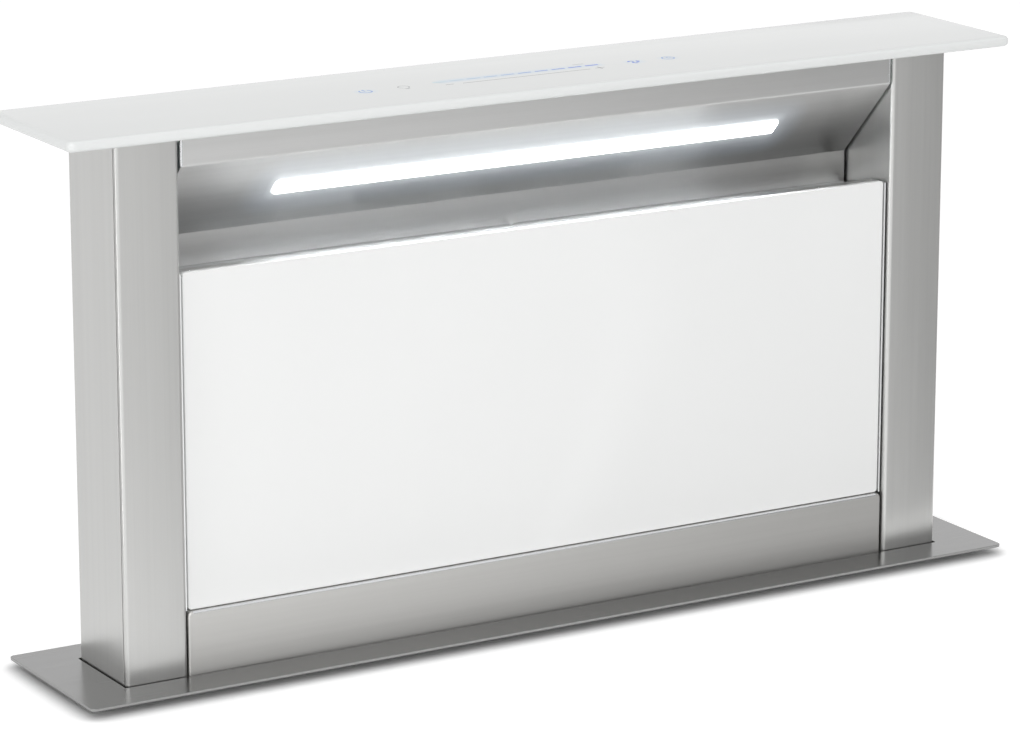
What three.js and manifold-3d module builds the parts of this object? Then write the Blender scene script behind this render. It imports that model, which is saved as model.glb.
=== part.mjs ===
// Pop-up downdraft vent for a kitchen worktop, 60 cm class, with its tower raised.
// Millimetres, +Z up. The origin is the middle of the worktop cut-out, on the worktop's top face.
// +X is to the right as the cook sees it, and +Y points away from the cook.

import * as THREE from 'three';
import { mergeVertices } from 'three/addons/utils/BufferGeometryUtils.js';
import Module from 'manifold-3d';

const wasm = await Module();
wasm.setup();

// ---------------------------------------------------------------------------------------------
// Driving sizes

// Fits
const seat = 0.3;               // between two pieces that touch
const running = 0.1;            // radial play of a pin or shaft in its hole
const bend = 1;                 // inside radius of a folded edge

// Facets of the curved faces. The counts of sides divide by four, so that nested rounds line up.
const pinSides = 12;
const roundSides = 20;
const wideSides = 32;
const bendSteps = 3;
const hiddenBendSteps = 2;

// Tower
const towerWidth = 532;
const towerDepth = 58;
const rise = 300;               // worktop to the underside of the raised cap
const towerSheet = 1.2;
const columnWidth = 37;
const columnReturn = 21;        // width of the fold at the back of a column
const cheekInset = 5;           // an inner cheek ends this far from the tower's back
const seamSet = 2.4;            // from the column's front face to the seam in its side
const seamWidth = 0.5;
const seamDepth = 0.6;
const ductTail = 18;            // how far the duct reaches below the worktop

// Cap and controls
const capWidth = 600;
const capDepth = 99;
const capThickness = 6;
const capSetback = 3.5;         // the cap's middle lies this far behind the tower's
const capCorner = 4;
const capBevel = 1.1;
const panWidth = 300;
const panDepth = 30;
const panSink = 10;
const boardMargin = 4;
const boardThickness = 1.6;
const keyRadius = 5;
const keyPitch = 24.5;
const keySpread = 73.5;         // from the middle to the first key on each side
const keyForward = 5.5;         // the row of keys lies this far in front of the cap's middle
const sliderLength = 92;

// Lamp panel
const lipHeight = 17.5;
const lipReturn = 16;
const slopeDrop = 47;
const ductBackInset = 13;       // from the tower's back to the duct's back wall
const panelGap = 1.5;           // open joint between the lamp panel and a cheek
const lampLength = 325;
const lampWidth = 12.6;
const lampThickness = 5.4;
const lampCorner = 3;
const lampProud = 1.9;
const lampRaise = 2.4;          // how far the lamp sits above the middle of the slope
const lampBoardWidth = 8;
const lampBoardThickness = 1.2;
const chipCount = 16;
const chipSize = 3;

// Glass front and the strip under it
const intakeHeight = 75.5;      // open front between the glass and the cap
const stripHeight = 37;
const stripRecess = 1.5;
const stripGap = 2.2;
const stripCorner = 3;
const stripLedge = 9.8;
const stripFoot = 5;
const glassThickness = 4;
const glassRecess = 3.4;
const glassEdgeGap = 0.9;       // beside the glass, and again beside its carrier
const glassJoint = 0.4;         // between the glass and the strip
const carrierDrop = 1;          // from the glass's top edge down to its carrier's
const glassCorner = 2;
const glassBevel = 0.5;
const carrierSheet = 0.8;
const hookWidth = 20;
const hookSpread = 150;
const hookReach = 4;
const catchHeight = 18;
const catchLength = 14;
const catchDrop = 14;

// Grease filters
const filterHeadroom = 17.5;    // from the filters up to the foot of the slope
const filterThickness = 9;
const filterRail = 12;
const filterGap = 1;            // half of the gap between the two filters
const filterSide = 3;           // from a filter to the cheek
const filterFoot = 3;           // the foot's back edge lies this far in front of the middle
const meshThickness = 4.4;
const meshSheet = 0.7;
const meshPleats = 20;
const grooveDepth = 4;
const pullWidth = 46;
const pullReach = 9;
const pullBar = 3;

// Lift
const closedGap = 1;            // under the cap when the tower is down
const liftY = -5;               // the actuator's axis
const crossbarDepth = 20;
const crossbarHeight = 20;
const crossbarDrop = 7;         // from the strip's top edge up to the crossbar's top
const crossbarSheet = 2;
const pinRadius = 4;
const pinHead = 2;
const rodRadius = 7;
const eyeRadius = 9;
const eyeWidth = 11;
const pistonHeight = 14;
const rodOverlap = 40;
const tubeRadius = 15;
const tubeWall = 3;
const tubeNose = 10;
const tubeTopGap = 6.5;
const gearboxHeight = 32;
const gearboxRadius = 19;
const motorOffset = 40;
const liftMotorRadius = 18;
const liftMotorLength = 110;
const lugThickness = 3;
const lugPinHeight = 10;
const tieHeight = 30;
const tieDepth = 8;
const tieSheet = 1.5;

// Telescopic slides
const railSpace = 13.4;         // between the tower's side and the shaft's wall
const railEngagement = 8.5;     // length of a slide beyond its travel
const railMargin = 5;
const railSheet = 1.2;
const railWidth = 44;
const railLip = 4.5;
const railBend = 0.6;
const railBaseWidth = 24;

// Shaft under the worktop
const flangeWidth = 596;
const flangeDepth = 106;
const flangeThickness = 1.5;
const flangeSetforward = 0.5;   // the flange's middle lies this far in front of the tower's
const flangeCorner = 3;
const flangeGap = 1;            // round the tower
const collarSheet = 1.2;
const collarDepth = 14;
const tongueWidth = 24;         // tongues on the collar reach out to the shaft's walls
const tongueLeg = 12;
const tongueSpread = 190;
const wiperHeight = 11;
const wiperPlay = 0.15;
const shaftSheet = 1;
const shaftInnerDepth = 74;
const shaftTopGap = 2.4;        // open joint between the flange and the shaft's top edge
const shaftReturn = 18;
const shaftSideFold = 12;
const shaftFootSpace = 52.5;    // under the lowered tower
const baseUpstand = 15;
const ribHeight = 3;
const ribWidth = 16;
const ribCount = 4;
const clampDepth = 30;
const clampLeg = 35;
const clampReach = 20;
const clampSheet = 1.5;
const worktopThickest = 40;     // the clamps bear on a worktop no thicker than this
const footHeight = 20;
const footWidth = 40;
const footFlange = 12;
const footSheet = 1.5;
const footInset = 75;
const footSlots = 3;

// Blower
const blowerX = 105;
const impellerRadius = 85;
const impellerWidth = 76;
const bladeCount = 36;
const bladeDepth = 17;
const bladeLean = 0.17;         // how far a blade's tip leads its root, in radians
const bladeThickness = 0.9;
const impellerDisc = 2;
const impellerRim = 7;
const hubRadius = 13;
const shaftRadius = 4;
const scrollClearance = 8;
const scrollGrowth = 60;        // added to the scroll's radius by one full turn
const scrollSheet = 1.5;
const scrollTongue = 50;        // degrees above the horizontal
const scrollMouth = 150;        // from the axle to the mouth
const scrollInlet = 74;
const scrollAxial = 100;
const impellerSet = 13;         // from the scroll's back plate to the impeller
const inletThroat = 62;
const inletDepth = 17;
const inletSheet = 1.5;
const inletHole = 82;
const motorRadius = 47;
const motorLength = 50;
const motorRibs = 4;
const bracketSheet = 2;
const bracketReach = 70;
const bracketArm = 14;
const boxSheet = 1.2;
const boxMargin = 2;
const boxCorner = 4;
const boxFlange = 12;
const coverSheet = 1.2;
const coverRaise = 4;
const coverBorder = 22;
const louvreCount = 7;
const louvreWidth = 46;
const louvreHeight = 4;
const louvrePitch = 10;

// Outlet
const spigotRadius = 73;
const spigotWall = 1.2;
const spigotLength = 54;
const spigotFlange = 4;
const spigotBead = 2;
const spigotRaise = 12;         // the spigot's bore tops the scroll by this much
const flapSet = 22;             // from the box wall to the flaps
const flapPlay = 1.5;
const flapThickness = 1;
const flapPinRadius = 2;
const knuckleRadius = 3.6;
const knuckleSlots = 4;
const stopDepth = 5;

// Control box
const controlX = -175;
const controlWidth = 160;
const controlHeight = 150;
const controlDepth = 60;
const controlWall = 2;
const controlTop = 330;         // below the worktop
const lidDepth = 8;
const glandRadius = 11;
const glandLength = 26;
const glandBore = 4;
const controlBoardInset = 10;   // from the box's walls to its circuit board
const leadSpace = 22;           // under the board, for the leads
const pillarHeight = 8;
const pillarRadius = 3.5;
const pillarInset = 7;
const partInset = 6;            // from the board's edge to the parts on it
const transformerWidth = 42;
const transformerHeight = 36;
const transformerDepth = 32;
const coilGap = 3;              // the transformer's coil stands back from its core's edges
const relayCount = 3;
const relayWidth = 15;
const relayHeight = 20;
const relayDepth = 16;
const relayGap = 3;
const capacitorRadius = 6.5;
const capacitorLength = 24;
const terminalCount = 9;
const terminalWidth = 7;
const terminalGap = 1;
const terminalHeight = 10;
const terminalDepth = 13;

// ---------------------------------------------------------------------------------------------
// Sizes that follow from them

const halfWidth = towerWidth / 2;
const frontY = -towerDepth / 2;
const backY = towerDepth / 2;
const cheekX = halfWidth - columnWidth;
const travel = rise - flangeThickness - closedGap;
const railLength = travel + railEngagement;
const railTopZ = -collarDepth - railMargin;
const tailLength = railLength + railMargin - railTopZ;
const shaftDepth = tailLength + travel + shaftFootSpace;
const wallX = halfWidth + railSpace;
const shaftY = shaftInnerDepth / 2;
const lipBottomZ = rise - lipHeight;
const slopeFootZ = lipBottomZ - slopeDrop;
const ductBackY = backY - ductBackInset;
const lipY = frontY + seat;
const crossbarTopZ = stripHeight + crossbarDrop;
const crossbarBottomZ = crossbarTopZ - crossbarHeight;
const glassBottomZ = stripHeight + glassJoint;
const glassTopZ = rise - intakeHeight;
const filterHeight = slopeFootZ - crossbarTopZ - filterHeadroom;

// ---------------------------------------------------------------------------------------------
// Finishes

const finish = (color, roughness, metalness, more = {}) =>
  new THREE.MeshStandardMaterial({ color, roughness, metalness, ...more });
const brushedSteel = () => finish(0xb9b9b6, 0.34, 1);
const innerSteel = () => finish(0xa9adaf, 0.3, 1);
const whiteGlass = () => finish(0xf3f4f3, 0.08, 0);
const lampWhite = () => finish(0xffffff, 0.4, 0, { emissive: 0xffffff, emissiveIntensity: 1 });
const zincSheet = () => finish(0x9fa3a5, 0.45, 0.9);
const aluminium = () => finish(0xc4c6c8, 0.4, 1);
const darkPlastic = () => finish(0x2b2c2e, 0.55, 0);
const greyPlastic = () => finish(0x8d9092, 0.5, 0);
const blackRubber = () => finish(0x1c1c1d, 0.8, 0);
const boardGreen = () => finish(0x1f5a3c, 0.5, 0);
const motorBlack = () => finish(0x303234, 0.45, 0.6);
const polishedSteel = () => finish(0xd4d6d7, 0.2, 1);

// ---------------------------------------------------------------------------------------------
// Outlines

const leftOf = (v) => new THREE.Vector2(-v.y, v.x);
// Section of a folded sheet. The path runs along one face, and the sheet lies on the path's left.
function foldedSheet(path, thickness, insideRadius = bend, steps = bendSteps) {
  const points = path.map(([x, y]) => new THREE.Vector2(x, y));
  const near = [];
  const far = [];
  points.forEach((corner, i) => {
    const before = points[i - 1];
    const after = points[i + 1];
    const into = before ? corner.clone().sub(before).normalize() : null;
    const outOf = after ? after.clone().sub(corner).normalize() : null;
    if (!into || !outOf) {
      near.push(corner);
      far.push(leftOf(into || outOf).multiplyScalar(thickness).add(corner));
      return;
    }
    const turn = Math.atan2(into.cross(outOf), into.dot(outOf));
    const side = Math.sign(turn);
    const radius = side > 0 ? insideRadius + thickness : insideRadius;
    const start = into.clone().multiplyScalar(-radius * Math.tan(Math.abs(turn) / 2)).add(corner);
    const centre = leftOf(into).multiplyScalar(side * radius).add(start);
    for (let step = 0; step <= steps; step += 1) {
      const angle = (turn * step) / steps;
      const spoke = start.clone().sub(centre).rotateAround(new THREE.Vector2(), angle);
      near.push(spoke.clone().add(centre));
      far.push(spoke.multiplyScalar((radius - side * thickness) / radius).add(centre));
    }
  });
  return new THREE.Shape([...near, ...far.reverse()]);
}

const hiddenSheet = (path, thickness, insideRadius = bend) =>
  foldedSheet(path, thickness, insideRadius, hiddenBendSteps);

function circlePoints(radius, x = 0, y = 0, steps = roundSides) {
  return Array.from({ length: steps }, (_, i) => {
    const angle = (2 * Math.PI * i) / steps;
    return new THREE.Vector2(x + radius * Math.cos(angle), y + radius * Math.sin(angle));
  });
}

const circle = (radius, x = 0, y = 0, steps = roundSides) =>
  new THREE.Shape(circlePoints(radius, x, y, steps));

function ring(outer, inner, x = 0, y = 0, steps = roundSides) {
  const shape = circle(outer, x, y, steps);
  shape.holes.push(new THREE.Path(circlePoints(inner, x, y, steps)));
  return shape;
}

function roundedPoints([x0, x1], [y0, y1], radius, steps = 3) {
  const corners = [[x1 - radius, y0 + radius], [x1 - radius, y1 - radius],
    [x0 + radius, y1 - radius], [x0 + radius, y0 + radius]];
  return corners.flatMap(([x, y], corner) => Array.from({ length: steps + 1 }, (_, i) => {
    const angle = (Math.PI / 2) * (corner - 1 + i / steps);
    return new THREE.Vector2(x + radius * Math.cos(angle), y + radius * Math.sin(angle));
  }));
}

const rounded = (xs, ys, radius, steps) => new THREE.Shape(roundedPoints(xs, ys, radius, steps));

function frame(outer, inner) {
  const shape = new THREE.Shape(outer);
  shape.holes.push(new THREE.Path(inner));
  return shape;
}

// ---------------------------------------------------------------------------------------------
// Solids

const X = new THREE.Vector3(1, 0, 0);
const Y = new THREE.Vector3(0, 1, 0);
const Z = new THREE.Vector3(0, 0, 1);

function block([x0, x1], [y0, y1], [z0, z1]) {
  return new THREE.BoxGeometry(x1 - x0, y1 - y0, z1 - z0)
    .translate((x0 + x1) / 2, (y0 + y1) / 2, (z0 + z1) / 2);
}

const extruded = (shape, depth) => new THREE.ExtrudeGeometry(shape, { depth, bevelEnabled: false });

// The outline lies in the XY plane.
const alongZ = (shape, z0, z1) => extruded(shape, z1 - z0).translate(0, 0, z0);

// The outline's two axes are Y and Z.
const alongX = (shape, x0, x1) => extruded(shape, x1 - x0)
  .applyMatrix4(new THREE.Matrix4().makeBasis(Y, Z, X)).translate(x0, 0, 0);

// The outline's two axes are X and Z.
const alongY = (shape, y0, y1) => extruded(shape, y1 - y0)
  .applyMatrix4(new THREE.Matrix4().makeBasis(X, Z, Y.clone().negate())).translate(0, y1, 0);

// A plate with its edges bevelled on both faces, its outline in the XY plane.
function bevelledPlate(shape, z0, z1, bevel) {
  const depth = z1 - z0 - 2 * bevel;
  return new THREE.ExtrudeGeometry(shape, {
    depth, bevelThickness: bevel, bevelSize: bevel, bevelOffset: -bevel, bevelSegments: 2,
  }).translate(0, 0, z0 + bevel);
}

// The same plate standing up, its outline in the XZ plane, from y 0 to the depth given.
const standingPlate = (shape, depth, bevel) => bevelledPlate(shape, 0, depth, bevel)
  .applyMatrix4(new THREE.Matrix4().makeBasis(X, Z, Y.clone().negate()))
  .translate(0, depth, 0);

// A turned solid about Z. The profile is [radius, height] points, anticlockwise.
function turned(profile, steps = roundSides) {
  const points = profile.map(([radius, height]) => new THREE.Vector2(radius, height));
  if (profile[0][0] > 0) {
    points.push(points[0].clone());
  }
  return new THREE.LatheGeometry(points, steps).rotateX(Math.PI / 2);
}

// Merges the corners that triangles share, and drops the triangles that have no area.
function closedMesh(geometry) {
  const plain = geometry.clone();
  plain.deleteAttribute('normal');
  plain.deleteAttribute('uv');
  const merged = mergeVertices(plain, 1e-4);
  const kept = [];
  for (let i = 0; i < merged.index.count; i += 3) {
    const [a, b, c] = [0, 1, 2].map((k) => merged.index.getX(i + k));
    if (a !== b && b !== c && c !== a) {
      kept.push(a, b, c);
    }
  }
  merged.setIndex(kept);
  return merged;
}

function toManifold(geometry) {
  const closed = closedMesh(geometry);
  return new wasm.Manifold(new wasm.Mesh({
    numProp: 3,
    vertProperties: new Float32Array(closed.attributes.position.array),
    triVerts: new Uint32Array(closed.index.array),
  }));
}

function toGeometry(manifold) {
  const mesh = manifold.getMesh();
  const geometry = new THREE.BufferGeometry();
  geometry.setAttribute('position', new THREE.BufferAttribute(mesh.vertProperties.slice(), 3));
  geometry.setIndex(new THREE.BufferAttribute(mesh.triVerts.slice(), 1));
  return geometry;
}

const combine = (how) => (first, ...rest) => toGeometry(
  rest.map(toManifold).reduce((whole, piece) => whole[how](piece), toManifold(first)),
);
const fuse = combine('add');
const cut = combine('subtract');
const common = combine('intersect');

function mirrored(geometry) {
  const flipped = closedMesh(geometry).scale(-1, 1, 1);
  const index = flipped.index.array;
  for (let i = 0; i < index.length; i += 3) {
    [index[i], index[i + 1]] = [index[i + 1], index[i]];
  }
  return flipped;
}

function add(group, name, geometry, material) {
  const mesh = new THREE.Mesh(closedMesh(geometry), material);
  mesh.geometry.computeVertexNormals();
  mesh.name = name;
  group.add(mesh);
  return mesh;
}

// A pair of pieces, the left one a mirror image of the right one.
function addPair(group, name, geometry, material) {
  add(group, `${name}_right`, geometry, material());
  add(group, `${name}_left`, mirrored(geometry), material());
}

// ---------------------------------------------------------------------------------------------
// Tower: columns, cap and panels

const vent = new THREE.Group();
const tower = new THREE.Group();
vent.add(tower);

function addColumns() {
  const section = foldedSheet([
    [cheekX, backY - cheekInset],
    [cheekX, frontY],
    [halfWidth, frontY],
    [halfWidth, backY],
    [halfWidth - columnReturn, backY],
  ], towerSheet);
  const seam = block(
    [halfWidth - seamDepth, halfWidth + 1],
    [frontY + seamSet, frontY + seamSet + seamWidth],
    [-tailLength - 1, rise],
  );
  addPair(tower, 'column', cut(alongZ(section, -tailLength, rise - seat), seam), brushedSteel);
}

function addCap() {
  const outline = rounded(
    [-capWidth / 2, capWidth / 2],
    [capSetback - capDepth / 2, capSetback + capDepth / 2],
    capCorner,
    4,
  );
  add(tower, 'cap_glass', bevelledPlate(outline, rise, rise + capThickness, capBevel), whiteGlass());
}

// The tray closes the top of the tower behind the lip, and its sunk pan holds the touch board.
const trayFront = lipY + lipReturn + seat;
const trayBack = backY - 2 * towerSheet - 2 * seat;
const trayTop = rise - seat;
const panY = capSetback;
const keyY = panY - keyForward;
const panFloor = trayTop - panSink;

function addTray() {
  const halfPan = panWidth / 2;
  const trayX = cheekX - seat;
  const opening = roundedPoints([-halfPan, halfPan], [panY - panDepth / 2, panY + panDepth / 2], bend);
  const outside = roundedPoints(
    [-halfPan - towerSheet, halfPan + towerSheet],
    [panY - panDepth / 2 - towerSheet, panY + panDepth / 2 + towerSheet],
    bend + towerSheet,
  );
  const corners = roundedPoints([-trayX, trayX], [trayFront, trayBack], bend);
  const tray = fuse(
    alongZ(frame(corners, opening), trayTop - towerSheet, trayTop),
    alongZ(frame(outside, opening), panFloor, trayTop),
    alongZ(new THREE.Shape(outside), panFloor - towerSheet, panFloor),
  );
  add(tower, 'cap_tray', tray, innerSteel());
}

// The board carries one sprung pad under each touch mark, and a long one under the slider.
function addTouchBoard() {
  const boardX = panWidth / 2 - boardMargin;
  const boardY = panDepth / 2 - boardMargin;
  const boardZ = panFloor + seat;
  const padTop = rise - seat;
  const pads = [-1, 1].flatMap((side) => [0, 1].map((step) => {
    const x = side * (keySpread + step * keyPitch);
    return alongZ(circle(keyRadius, x, keyY, pinSides), boardZ, padTop);
  }));
  const slider = block(
    [-sliderLength / 2, sliderLength / 2],
    [keyY - keyRadius, keyY + keyRadius],
    [boardZ, padTop],
  );
  const board = block([-boardX, boardX], [panY - boardY, panY + boardY], [boardZ, boardZ + boardThickness]);
  add(tower, 'touch_board', fuse(board, slider, ...pads), boardGreen());
}

// One sheet makes the lip, the sloping lamp face and the back wall of the duct.
const slopeAngle = Math.atan2(slopeDrop, ductBackY - lipY);
const lampPlace = new THREE.Matrix4()
  .makeTranslation(0, (lipY + ductBackY) / 2, (lipBottomZ + slopeFootZ) / 2)
  .multiply(new THREE.Matrix4().makeRotationX(-slopeAngle))
  .multiply(new THREE.Matrix4().makeTranslation(0, -lampRaise, 0));

// A slab parallel to the sloping face: the slope runs along its Y, and its +Z points into the sheet.
const onSlope = (shape, z0, z1) => alongZ(shape, z0, z1).applyMatrix4(lampPlace);

function lampOutline(grow) {
  const halfLength = lampLength / 2 + grow;
  const halfBreadth = lampWidth / 2 + grow;
  return rounded([-halfLength, halfLength], [-halfBreadth, halfBreadth], lampCorner + grow);
}

function addLampPanel() {
  const section = foldedSheet([
    [lipY + lipReturn, rise - seat],
    [lipY, rise - seat],
    [lipY, lipBottomZ],
    [ductBackY, slopeFootZ],
    [ductBackY, -ductTail],
  ], towerSheet);
  const sheetX = cheekX - panelGap;
  const sheet = alongX(section, -sheetX, sheetX);
  const window = onSlope(lampOutline(seat), -2 * lampThickness, 2 * lampThickness);
  add(tower, 'lamp_panel', cut(sheet, window), innerSteel());
}

function addLamp() {
  const bar = onSlope(lampOutline(0), -lampProud, lampThickness - lampProud);
  add(tower, 'led_diffuser', bar, lampWhite());

  const boardZ = lampThickness - lampProud + seat;
  const boardX = lampLength / 2 - lampCorner;
  const chipSpace = (2 * boardX) / chipCount;
  const chipTop = boardZ + lampBoardThickness;
  const board = onSlope(
    rounded([-boardX, boardX], [-lampBoardWidth / 2, lampBoardWidth / 2], bend),
    boardZ + chipSize / 4,
    chipTop + chipSize / 4,
  );
  const chips = Array.from({ length: chipCount }, (_, i) => {
    const x = -boardX + (i + 0.5) * chipSpace;
    return block([x - chipSize / 2, x + chipSize / 2], [-chipSize / 2, chipSize / 2], [boardZ, chipTop])
      .applyMatrix4(lampPlace);
  });
  add(tower, 'led_board', fuse(board, ...chips), boardGreen());
}

function addBackPanel() {
  const outerY = backY - towerSheet - seat;
  const section = foldedSheet([
    [backY - cheekInset + seat, -ductTail],
    [outerY, -ductTail],
    [outerY, rise - seat],
  ], towerSheet);
  const sheetX = halfWidth - columnReturn / 3;
  add(tower, 'tower_back_panel', alongX(section, -sheetX, sheetX), brushedSteel());
}

// ---------------------------------------------------------------------------------------------
// Tower: glass front, its carrier and the strip under it

const carrierX = cheekX - glassEdgeGap;
const glassX = carrierX - carrierSheet - glassEdgeGap;
const glassFrontY = frontY + glassRecess;
const glassBackY = glassFrontY + glassThickness;
const carrierBackY = glassBackY + seat + carrierSheet;
const hookRows = [-hookSpread, hookSpread];

function addGlass() {
  const outline = rounded([-glassX, glassX], [glassBottomZ, glassTopZ], glassCorner);
  const pane = standingPlate(outline, glassThickness, glassBevel).translate(0, glassFrontY, 0);
  add(tower, 'front_glass', pane, whiteGlass());
}

// The carrier is glued to the glass. Its hooks drop into the strip's ledge.
function addCarrier() {
  const bottom = stripHeight + seat;
  const section = foldedSheet([
    [carrierX, glassFrontY],
    [carrierX, carrierBackY],
    [-carrierX, carrierBackY],
    [-carrierX, glassFrontY],
  ], carrierSheet, bend / 2);
  const hooks = hookRows.map((x) => block(
    [x - hookWidth / 2, x + hookWidth / 2],
    [carrierBackY - carrierSheet, carrierBackY],
    [stripHeight - hookReach, bottom + bend],
  ));
  const carrier = fuse(alongZ(section, bottom, glassTopZ - carrierDrop), ...hooks);
  add(tower, 'glass_carrier', carrier, polishedSteel());
}

function addCatches() {
  const top = glassTopZ - catchDrop;
  const body = rounded([cheekX - seat - catchLength, cheekX - seat], [top - catchHeight, top], bend);
  const nose = rounded(
    [cheekX - catchLength, cheekX - catchLength / 2],
    [top - catchHeight * 0.7, top - catchHeight * 0.3],
    bend,
  );
  const piece = fuse(
    alongY(body, carrierBackY + seat + 2, carrierBackY + catchLength),
    alongY(nose, carrierBackY + seat, carrierBackY + catchLength / 2),
  );
  addPair(tower, 'glass_catch', piece, darkPlastic);
}

function addStrip() {
  const faceY = frontY + stripRecess;
  const stripX = cheekX - stripGap;
  const section = foldedSheet([
    [faceY + stripLedge, stripHeight],
    [faceY, stripHeight],
    [faceY, -ductTail],
    [faceY + stripFoot, -ductTail],
  ], towerSheet);
  const outline = rounded([-stripX, stripX], [-ductTail, stripHeight], stripCorner);
  const folded = common(
    alongX(section, -stripX, stripX),
    alongY(outline, faceY - 1, faceY + stripLedge + 1),
  );
  const slots = hookRows.map((x) => block(
    [x - hookWidth / 2 - 1, x + hookWidth / 2 + 1],
    [carrierBackY - carrierSheet - seat, carrierBackY + seat],
    [stripHeight - hookReach, stripHeight + 1],
  ));
  const tabY = faceY + stripLedge;
  const tabs = [-1, 1].map((side) => {
    const ends = [side * (cheekX - seat), side * (stripX - stripLedge)].sort((a, b) => a - b);
    return block(ends, [tabY - towerSheet, tabY], [stripHeight / 3, stripHeight - towerSheet / 2]);
  });
  add(tower, 'lower_front_panel', fuse(cut(folded, ...slots), ...tabs), brushedSteel());
}

// ---------------------------------------------------------------------------------------------
// Tower: grease filters, leaning from the front of the crossbar to the duct's back wall

function addFilters() {
  const width = cheekX - filterSide - filterGap;
  const lean = Math.asin((ductBackY - seat + filterFoot) / filterHeight);
  const midY = -filterThickness / 2;
  const inner = [[filterRail, width - filterRail], [filterRail, filterHeight - filterRail]];
  const grow = ([a, b], by) => [a - by, b + by];
  const groove = inner.map((span) => grow(span, grooveDepth));
  const thickRange = (t) => [midY - t / 2, midY + t / 2];

  const frameSolid = cut(
    alongY(rounded([0, width], [0, filterHeight], 2), -filterThickness, 0),
    block(inner[0], [-filterThickness - 1, 1], inner[1]),
    block(groove[0], thickRange(meshThickness + 2 * seat), groove[1]),
  );
  const pullX = width / 2;
  const pullZ = filterHeight - filterRail / 2;
  const stays = [-1, 1].map((side) => {
    const x = pullX + side * (pullWidth - pullBar) / 2;
    return block(
      [x - pullBar / 2, x + pullBar / 2],
      [-filterThickness - pullReach, -filterThickness + 1],
      [pullZ - pullBar / 2, pullZ + pullBar / 2],
    );
  });
  const grip = block(
    [pullX - pullWidth / 2, pullX + pullWidth / 2],
    [-filterThickness - pullReach, -filterThickness - pullReach + pullBar],
    [pullZ - pullBar / 2, pullZ + pullBar / 2],
  );
  const withPull = fuse(frameSolid, ...stays, grip);

  // The pleated wire cloth is one zigzag band.
  const band = grow(inner[0], grooveDepth - seat);
  const crest = (meshThickness - meshSheet) / 2;
  const steps = 2 * meshPleats;
  const zigzag = Array.from({ length: steps + 1 }, (_, i) => [
    band[0] + ((band[1] - band[0]) * i) / steps,
    midY + (i % 2 ? crest : -crest),
  ]);
  const upper = zigzag.map(([x, y]) => new THREE.Vector2(x, y + meshSheet / 2));
  const lower = zigzag.map(([x, y]) => new THREE.Vector2(x, y - meshSheet / 2)).reverse();
  const rows = grow(inner[1], grooveDepth - seat);
  const mesh = alongZ(new THREE.Shape([...lower, ...upper]), rows[0], rows[1]);

  [['right', filterGap], ['left', -filterGap - width]].forEach(([side, x]) => {
    const place = new THREE.Group();
    place.position.set(x, -filterFoot, crossbarTopZ + seat);
    place.rotation.x = -lean;
    tower.add(place);
    add(place, `filter_frame_${side}`, withPull, aluminium());
    add(place, `filter_mesh_${side}`, mesh, aluminium());
  });
}

// ---------------------------------------------------------------------------------------------
// Lift: crossbar, actuator and the tie at the foot of the columns

const crossbarFront = liftY - crossbarDepth / 2;
const crossbarBack = liftY + crossbarDepth / 2;
const eyeZ = (crossbarTopZ - crossbarSheet + crossbarBottomZ) / 2;
const holeRadius = pinRadius + running + 0.1;
const tubeTopZ = crossbarBottomZ - travel - tubeTopGap;
const lugPinZ = -shaftDepth + shaftSheet + seat + lugPinHeight;
const gearboxBottomZ = -shaftDepth + shaftFootSpace - 2 - gearboxHeight - seat;
const tubeBottomZ = gearboxBottomZ + gearboxHeight + seat;

// A pin along Y, with a head at the front and a retaining collar at the back.
function pin(y0, y1, z) {
  const shank = alongY(circle(pinRadius, 0, z, pinSides), y0 - pinHead, y1 + pinHead + 1);
  const head = alongY(circle(pinRadius * 1.5, 0, z, pinSides), y0 - seat - pinHead, y0 - seat);
  const collar = alongY(circle(pinRadius * 1.4, 0, z, pinSides), y1 + seat, y1 + seat + 1);
  return fuse(shank, head, collar);
}

function addCrossbar() {
  const section = hiddenSheet([
    [crossbarBack, crossbarBottomZ],
    [crossbarBack, crossbarTopZ],
    [crossbarFront, crossbarTopZ],
    [crossbarFront, crossbarBottomZ],
  ], crossbarSheet);
  const barX = cheekX - seat;
  const hole = alongY(circle(holeRadius, 0, eyeZ, pinSides), crossbarFront - 1, crossbarBack + 1);
  add(tower, 'lift_crossbar', cut(alongX(section, -barX, barX), hole), zincSheet());
  add(tower, 'rod_pin', pin(crossbarFront, crossbarBack, eyeZ), polishedSteel());
}

// The rod ends in an eye at the top and in the nut's piston inside the tube.
function addRod() {
  const bottom = tubeTopZ - rodOverlap;
  const neck = eyeZ - eyeRadius / 2;
  const shank = turned([
    [0, bottom], [tubeRadius - tubeWall - seat, bottom],
    [tubeRadius - tubeWall - seat, bottom + pistonHeight],
    [rodRadius, bottom + pistonHeight + 2], [rodRadius, neck - 2], [rodRadius - 1, neck], [0, neck],
  ]).translate(0, liftY, 0);
  const eye = alongY(circle(eyeRadius, 0, eyeZ, roundSides), liftY - eyeWidth / 2, liftY + eyeWidth / 2);
  const hole = alongY(circle(holeRadius, 0, eyeZ, pinSides), liftY - eyeWidth, liftY + eyeWidth);
  add(tower, 'actuator_rod', cut(fuse(shank, eye), hole), polishedSteel());
}

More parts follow.
